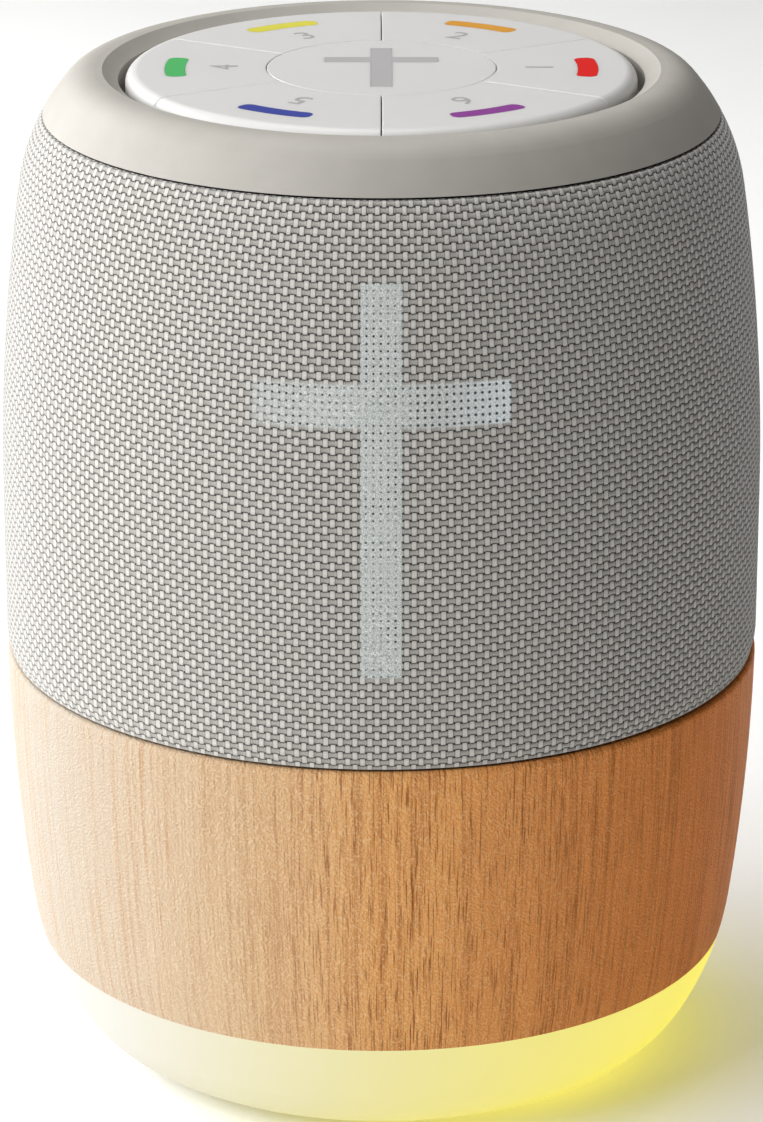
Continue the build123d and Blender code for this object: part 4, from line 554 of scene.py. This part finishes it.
# the painted glints turn grey where the wood is painted pale
painted_glint_colour = put(tree, MIX, {0: pale, 1: glint_tint, 2: linear("#C9C2B6")})
glinted = put(tree, MIX, {0: painted_glint, 1: streaked, 2: painted_glint_colour})
wood_colour = put(tree, MIX, {0: pore_shade, 1: glinted, 2: linear("#86400F")})
pore_dip = put(tree, MATH, {0: pore_mark, 1: 0.4}, operation="MULTIPLY")
grain_relief = put(tree, MATH, {0: streaks, 1: pore_dip}, operation="SUBTRACT")
wood_relief = put(tree, MATH, {0: mottle, 1: 3.5, 2: grain_relief}, operation="MULTIPLY_ADD")
bumped = put(tree, "ShaderNodeBump", {"Height": wood_relief, "Strength": 0.7, "Distance": 0.12 * MM})
satin = put(tree, RANGE, {0: streaks, 1: 0.3, 2: 0.7, 3: 0.45, 4: 0.6})
shade = put(tree, "ShaderNodeBsdfPrincipled", {
    "Base Color": wood_colour, "Roughness": satin, "Normal": bumped, "Specular IOR Level": 0.12})
put(tree, "ShaderNodeOutputMaterial", {0: shade})
print("wood of", len(tree.nodes), "nodes")

# %% [markdown]
# ## The glowing base
# The base is a bowl of frosted polycarbonate, lit yellow by a ring of diodes above it. A full simulation of
# light scattering in the wall is slow and noisy, so that light is painted: the bowl is a pale plastic that
# also glows. The painted glow is strongest on the right, where little other light falls, and fades to the
# left, and the plastic's colour is painted yellow towards the right along with it. To the eye it is soft and
# cloudy, with no sharp highlight.

# %% Frosted lit bowl
CLOUD_SIZE = 18 * MM
FROST_SIZE = 0.3 * MM
BOWL_GLOW = 0.86

bowl, tree = start_material("frosted polycarbonate, lit from inside")
place = put(tree, "ShaderNodeTexCoord").outputs["Object"]
bowl_low, bowl_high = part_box("light_base")
sideways = put(tree, "ShaderNodeSeparateXYZ", {0: place}).outputs["X"]
cloudy = put(tree, NOISE, {"Vector": place, "Scale": 1 / CLOUD_SIZE, "Detail": 1.0})
cloud = put(tree, MATH, {0: cloudy, 1: 0.10, 2: 0.95}, operation="MULTIPLY_ADD")
# painted light: the glow is painted strongest on the right and fades to the left
glow_painted_rightwards = put(tree, RANGE, {0: sideways, 1: 0.75 * bowl_low[0], 2: bowl_high[0], 3: 0.0, 4: 1.0})
clouded = put(tree, MATH, {0: cloud, 1: glow_painted_rightwards}, operation="MULTIPLY")
glow = put(tree, MATH, {0: clouded, 1: BOWL_GLOW}, operation="MULTIPLY")
# the plastic is painted yellow towards the right along with the painted glow
wall = put(tree, MIX, {0: glow_painted_rightwards, 1: linear("#CFCDC5"), 2: linear("#CDC595")})
frost = put(tree, NOISE, {"Vector": place, "Scale": 1 / FROST_SIZE, "Detail": 2.0})
bumped = put(tree, "ShaderNodeBump", {"Height": frost, "Strength": 0.15, "Distance": 0.03 * MM})
shade = put(tree, "ShaderNodeBsdfPrincipled", {
    "Base Color": wall, "Roughness": 0.6, "Normal": bumped, "Specular IOR Level": 0.25,
    "Emission Color": linear("#EBDF33"), "Emission Strength": glow})
put(tree, "ShaderNodeOutputMaterial", {0: shade})
print("bowl", round((bowl_high[2] - bowl_low[2]) / MM, 1), "mm high")

# %% [markdown]
# ## Moulded and bought-in finishes
# Most other pieces are moulded plastic, rubber, plated steel or laminate. Each has a fine grain from its
# mould or its making, a slight change of tone, and its own gloss, so one recipe with these four values
# covers them. A real mould's grain is finer than shows, so it is drawn coarser, at a fifth of a millimetre or
# more.

# %% One recipe for plain finishes
def plain_finish(name, dark, light, roughness, grain_mm, relief_mm, **sockets):
    """Tone drifts between two colours over ten grains, and the surface has a relief of that grain."""
    made, tree = start_material(name)
    place = put(tree, "ShaderNodeTexCoord").outputs["Object"]
    drift = put(tree, NOISE, {"Vector": place, "Scale": 1 / (10 * grain_mm * MM), "Detail": 2.0})
    grain = put(tree, NOISE, {"Vector": place, "Scale": 1 / (grain_mm * MM), "Detail": 2.0})
    tone = put(tree, MIX, {0: drift, 1: linear(dark), 2: linear(light)})
    bumped = put(tree, "ShaderNodeBump", {"Height": grain, "Strength": 0.5, "Distance": relief_mm * MM})
    shade = put(tree, "ShaderNodeBsdfPrincipled", {
        "Base Color": tone, "Roughness": roughness, "Normal": bumped, **sockets})
    put(tree, "ShaderNodeOutputMaterial", {0: shade})
    return made


# Soft-touch paint on ABS: a warm grey with a dull, even sheen
soft_grey = plain_finish("soft-touch painted ABS", "#A4A098", "#AEAAA3", 0.55, 0.4, 0.02)
# Satin ABS: a clean white with a soft highlight on its rounded edge, and light bleeds a little way into it
satin_white = plain_finish("satin white ABS", "#CFCECC", "#D4D3D1", 0.38, 1.2, 0.002, IOR=1.53,
                           **{"Subsurface Weight": 0.6, "Subsurface Radius": (1.0, 1.0, 1.0),
                              "Subsurface Scale": 1.5 * MM})
# Inlays of the same ABS, a little duller than the key round them
inlay_grey = plain_finish("grey ABS inlay", "#ABA9AA", "#B1AFB0", 0.4, 0.8, 0.002)
print("shell finishes:", soft_grey.name, "/", satin_white.name)

# %% [markdown]
# ## Finishes of the pieces inside
# Nothing inside shows in the picture, but a shared part may be opened or cut through, so each hidden piece
# also carries the finish of its real one. They use the same recipe as the shells.

# %% Plastics, rubber and films inside
# Moulded ABS: near black, with the fine matt grain of an eroded mould
black_abs = plain_finish("black moulded ABS", "#161617", "#1D1D1F", 0.5, 0.3, 0.01)
# Silicone rubber: dull and even, almost without a highlight
rubber = plain_finish("black silicone rubber", "#1B1B1B", "#232323", 0.75, 0.5, 0.01)
# Cast acrylic: clear with a sharp gloss, so that it carries light
acrylic = plain_finish("clear cast acrylic", "#EEF3F4", "#F8FBFB", 0.12, 0.8, 0.002, IOR=1.49,
                       **{"Transmission Weight": 0.85})
# Soft PVC insulation: a dark red with a waxy gloss
insulation = plain_finish("red PVC insulation", "#7E1614", "#961E1A", 0.5, 0.5, 0.005)
# Polyester film with printed tracks: pale and smooth
film = plain_finish("polyester cable film", "#CFC9B8", "#DDD8C9", 0.4, 0.6, 0.003)
# Laminated pouch of aluminium and nylon: grey-blue, soft gloss, slightly wrinkled
pouch = plain_finish("laminated battery pouch", "#6B7684", "#7E8996", 0.35, 1.0, 0.02)
print("hidden plastics ready,", len(bpy.data.materials), "materials so far")

# %% Metals, boards and speaker finishes inside
# Zinc plate on pressed steel: a soft grey gleam with a slight grain
steel = plain_finish("zinc-plated steel", "#A9ABAE", "#C2C4C6", 0.35, 0.25, 0.004, Metallic=1.0)
# Enamelled copper wire: orange-brown metal under a thin gloss
copper = plain_finish("enamelled copper winding", "#A8602E", "#C47A44", 0.3, 0.2, 0.01, Metallic=1.0)
# Pressed ferrite: a dark grey ceramic, dull and a little gritty
ferrite = plain_finish("pressed ferrite", "#2A2A2C", "#363638", 0.6, 0.4, 0.01)
# Pressed pulp: black, matt and fibrous
pulp = plain_finish("pressed paper pulp", "#202022", "#2E2E30", 0.9, 0.6, 0.03)
# Resin-dipped cotton: straw yellow, matt and woven
spider_cloth = plain_finish("resin-dipped cotton", "#B49A5E", "#C6AD72", 0.85, 0.5, 0.05)
# Glass-epoxy laminate under solder mask: dark green with a wet gloss
laminate = plain_finish("solder mask on laminate", "#0E4A2A", "#145C35", 0.35, 0.8, 0.004)
# Moulded epoxy: black, matt and very fine
epoxy = plain_finish("moulded epoxy", "#17171A", "#222226", 0.5, 0.2, 0.004)
# White package with a cream phosphor
diode = plain_finish("diode phosphor", "#E8E2CE", "#F4F0E2", 0.4, 0.3, 0.003)
print("all hidden finishes ready,", len(bpy.data.materials), "materials so far")

# %% [markdown]
# ## The soft rings of the speaker
# Two soft rings let the cone move: a half roll of rubber round its rim, and a ribbed disc of dipped cotton
# round its neck. Their outer edges are glued to the fixed frame and their inner edges to the cone and its
# coil. A stiff ring would be cut by the cone at full stroke. Each ring is laid out flat for a moment with its
# radius along X, and then its points go back to their places round the axis.

# %% A soft ring
RING_STEPS = 120


def soft_ring(name, upper, lower):
    """Two lines of (radius, height), each from the outer edge inwards, closed and carried round Z."""
    profile = np.concatenate([upper, lower[::-1]])
    made = turned_surface(name, profile, RING_STEPS, RING_STEPS, np.arange(len(profile)))
    in_place = np.zeros(len(made.data.vertices) * 3, np.float32)
    made.data.vertices.foreach_get("co", in_place)
    laid_out = np.zeros((RING_STEPS, len(profile), 3), np.float32)
    laid_out[..., 0], laid_out[..., 2] = profile.T
    made.data.vertices.foreach_set("co", laid_out.ravel())
    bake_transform(made)
    made.data.vertices.foreach_set("co", in_place)
    made.data.update()
    return made


print("a ring has", RING_STEPS, "steps round the axis")

# %% Rubber roll round the cone
ROLL_RIM = 1.8 * MM
ROLL_REACH = 6.0 * MM
CONE_GLUE = 1.5 * MM
ROLL_SKIN = 0.5 * MM
ROLL_STEPS = 24

roll_edge, roll_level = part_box("surround")[1][0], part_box("surround")[0][2]
roll_outer = roll_edge - ROLL_RIM
cone_lip = roll_outer - ROLL_REACH
roll_inner = cone_lip + CONE_GLUE
roll_middle, roll_radius = (roll_outer + roll_inner) / 2, (roll_outer - roll_inner) / 2
under = np.linspace(0, math.pi, ROLL_STEPS + 1)
foot = math.asin(ROLL_SKIN / (roll_radius + ROLL_SKIN))
over = np.linspace(foot, math.pi - foot, ROLL_STEPS + 1)


def roll_line(radius, angles, level):
    """A half roll: the rim's edge, an arc (middle + r cos a, roll level + r sin a), and the cone's lip."""
    arc = np.stack([roll_middle + radius * np.cos(angles), roll_level + radius * np.sin(angles)], axis=1)
    return np.concatenate([[(roll_edge, level)], arc, [(cone_lip, level)]])


roll = soft_ring("rubber_roll", roll_line(roll_radius + ROLL_SKIN, over, roll_level + ROLL_SKIN),
                 roll_line(roll_radius, under, roll_level))
roll.data.materials.append(rubber)
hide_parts("surround")
print("roll", round(2 * roll_radius / MM, 2), "mm wide,", len(roll.data.polygons), "faces")

# %% Ribbed disc round the coil
GLUE_LINE = 0.05 * MM
DISC_LAND = 1.2 * MM
DISC_SKIN = 0.4 * MM
RIB_HEIGHT = 0.7 * MM
RIB_COUNT = 3
DISC_STEPS = 40

disc_outer, disc_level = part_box("spider")[1][0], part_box("spider")[0][2]
disc_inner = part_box("voice_coil")[1][0] + GLUE_LINE
land_outer, land_inner = disc_outer - DISC_LAND, disc_inner + DISC_LAND
reach = np.linspace(disc_outer, disc_inner, DISC_STEPS + 1)
share = np.clip((land_outer - reach) / (land_outer - land_inner), 0, 1)
ribs = disc_level + RIB_HEIGHT * (1 - np.cos(2 * math.pi * RIB_COUNT * share)) / 2
disc = soft_ring("ribbed_disc", np.stack([reach, ribs + DISC_SKIN], axis=1), np.stack([reach, ribs], axis=1))
disc.data.materials.append(spider_cloth)
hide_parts("spider")
print("disc with", RIB_COUNT, "ribs", round(RIB_HEIGHT / MM, 1), "mm high,", len(disc.data.polygons), "faces")

# %% [markdown]
# ## Colour bars on the keys
# Each story key has its own colour, moulded as a separate inlay so that it never wears off. The six colours
# run round the disc, and the grey numerals beside them are printed on the key.

# %% Colour bars and the table of finishes
BAR_COLOURS = {1: "#CE120C", 2: "#CC9030", 3: "#CDC646", 4: "#47A65C", 5: "#36408F", 6: "#813888"}
TONE_STEP = 10

finish = {
    "top_ring": soft_grey, "wood_band": wood, "light_base": bowl, "centre_key": satin_white,
    "cross_mark": inlay_grey, "fabric_sleeve": speaker_cloth, "switch_plunger_centre": epoxy,
    "base_plate": black_abs, "foot_ring": rubber, "base_screws": steel, "core_tub": black_abs,
    "light_ring_board": laminate, "base_lights": diode, "battery_pack": pouch, "main_board": laminate,
    "board_chips": epoxy, "charge_socket": steel, "baffle": black_abs, "driver_gasket": rubber,
    "driver_frame": steel, "driver_screws": steel, "driver_front_plate": steel, "driver_magnet": ferrite,
    "driver_yoke": steel, "voice_coil": copper, "speaker_cone": pulp, "dust_cap": pulp, "surround": rubber,
    "spider": spider_cloth, "grille_frame": black_abs, "frame_screws": steel, "cross_light_guide": acrylic,
    "cross_light_board": laminate, "cross_lights": diode, "key_deck": satin_white, "deck_screws": steel,
    "key_board": laminate, "key_switches": epoxy, "key_cable": film, "lead_wires": insulation,
}
for number, code in BAR_COLOURS.items():
    # Coloured ABS: a clean, even colour, flush with the key and a little duller than it
    paler = "#" + "".join(f"{min(255, int(code[i:i + 2], 16) + TONE_STEP):02X}" for i in (1, 3, 5))
    finish[f"story_key_{number}"] = satin_white
    finish[f"story_mark_{number}"] = plain_finish(
        f"coloured ABS inlay {number}", code, paler, 0.4, 0.8, 0.002, **{"Specular IOR Level": 0.2})
    finish[f"switch_plunger_{number}"] = epoxy
for name, node in nodes.items():
    node.data.materials.clear()
    node.data.materials.append(finish[name])
print("finishes on", len(finish), "CAD pieces")

# %% [markdown]
# ## Numerals on the keys
# A printed numeral is a very thin layer of ink. It could be drawn by a shader, but Blender's text already has
# the outline of each digit, so that is turned into a mesh, scaled to its real height and given the thickness
# of the ink. Then it is laid on its key with its top outwards.

# %% Shape of a numeral
NUMERAL_HEIGHT = 3.6 * MM
INK = 0.02 * MM


def numeral_mesh(number):
    """A digit as a mesh and its points: x and y from its middle, scaled to the height, z up to the ink."""
    text = bpy.data.curves.new(f"numeral_{number}", "FONT")
    text.body = str(number)
    text.extrude = 0.5
    holder = bpy.data.objects.new("numeral_outline", text)
    bpy.context.collection.objects.link(holder)
    bpy.context.view_layer.update()
    mesh = bpy.data.meshes.new_from_object(holder.evaluated_get(bpy.context.evaluated_depsgraph_get()))
    bpy.data.objects.remove(holder)
    flat = np.zeros(len(mesh.vertices) * 3, np.float32)
    mesh.vertices.foreach_get("co", flat)
    points = flat.reshape(-1, 3).astype(float)
    points -= (points.min(0) + points.max(0)) / 2
    points *= (NUMERAL_HEIGHT / np.ptp(points[:, 1]),) * 2 + (INK,)
    return mesh, points + (0, 0, INK / 2)


print("a numeral is", round(NUMERAL_HEIGHT / MM, 1), "mm high, in ink", round(INK / MM, 2), "mm thick")

# %% Numerals on their keys
NUMERAL_CIRCLE = 20.3 * MM
KEY_TURN = 360 / len(BAR_COLOURS)

# Key print: a dull grey film, just darker than the satin white round it
ink = plain_finish("grey key print", "#9F9D9C", "#A6A4A3", 0.5, 0.5, 0.001)
for number in BAR_COLOURS:
    mesh, points = numeral_mesh(number)
    turn = math.radians(KEY_TURN * (number - 1))
    outwards, sidewards = points[:, 1] + NUMERAL_CIRCLE, -points[:, 0]
    key_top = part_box(f"story_key_{number}")[1][2]
    placed = np.stack([outwards * math.cos(turn) - sidewards * math.sin(turn),
                       outwards * math.sin(turn) + sidewards * math.cos(turn),
                       key_top + points[:, 2]], axis=1)
    mesh.vertices.foreach_set("co", placed.astype(np.float32).ravel())
    mesh.materials.clear()
    mesh.materials.append(ink)
    numeral = bpy.data.objects.new(f"key_numeral_{number}", mesh)
    bpy.context.collection.objects.link(numeral)
    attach(numeral, f"story_key_{number}")
print(len(BAR_COLOURS), "numerals on a circle of", round(NUMERAL_CIRCLE / MM, 1), "mm radius")
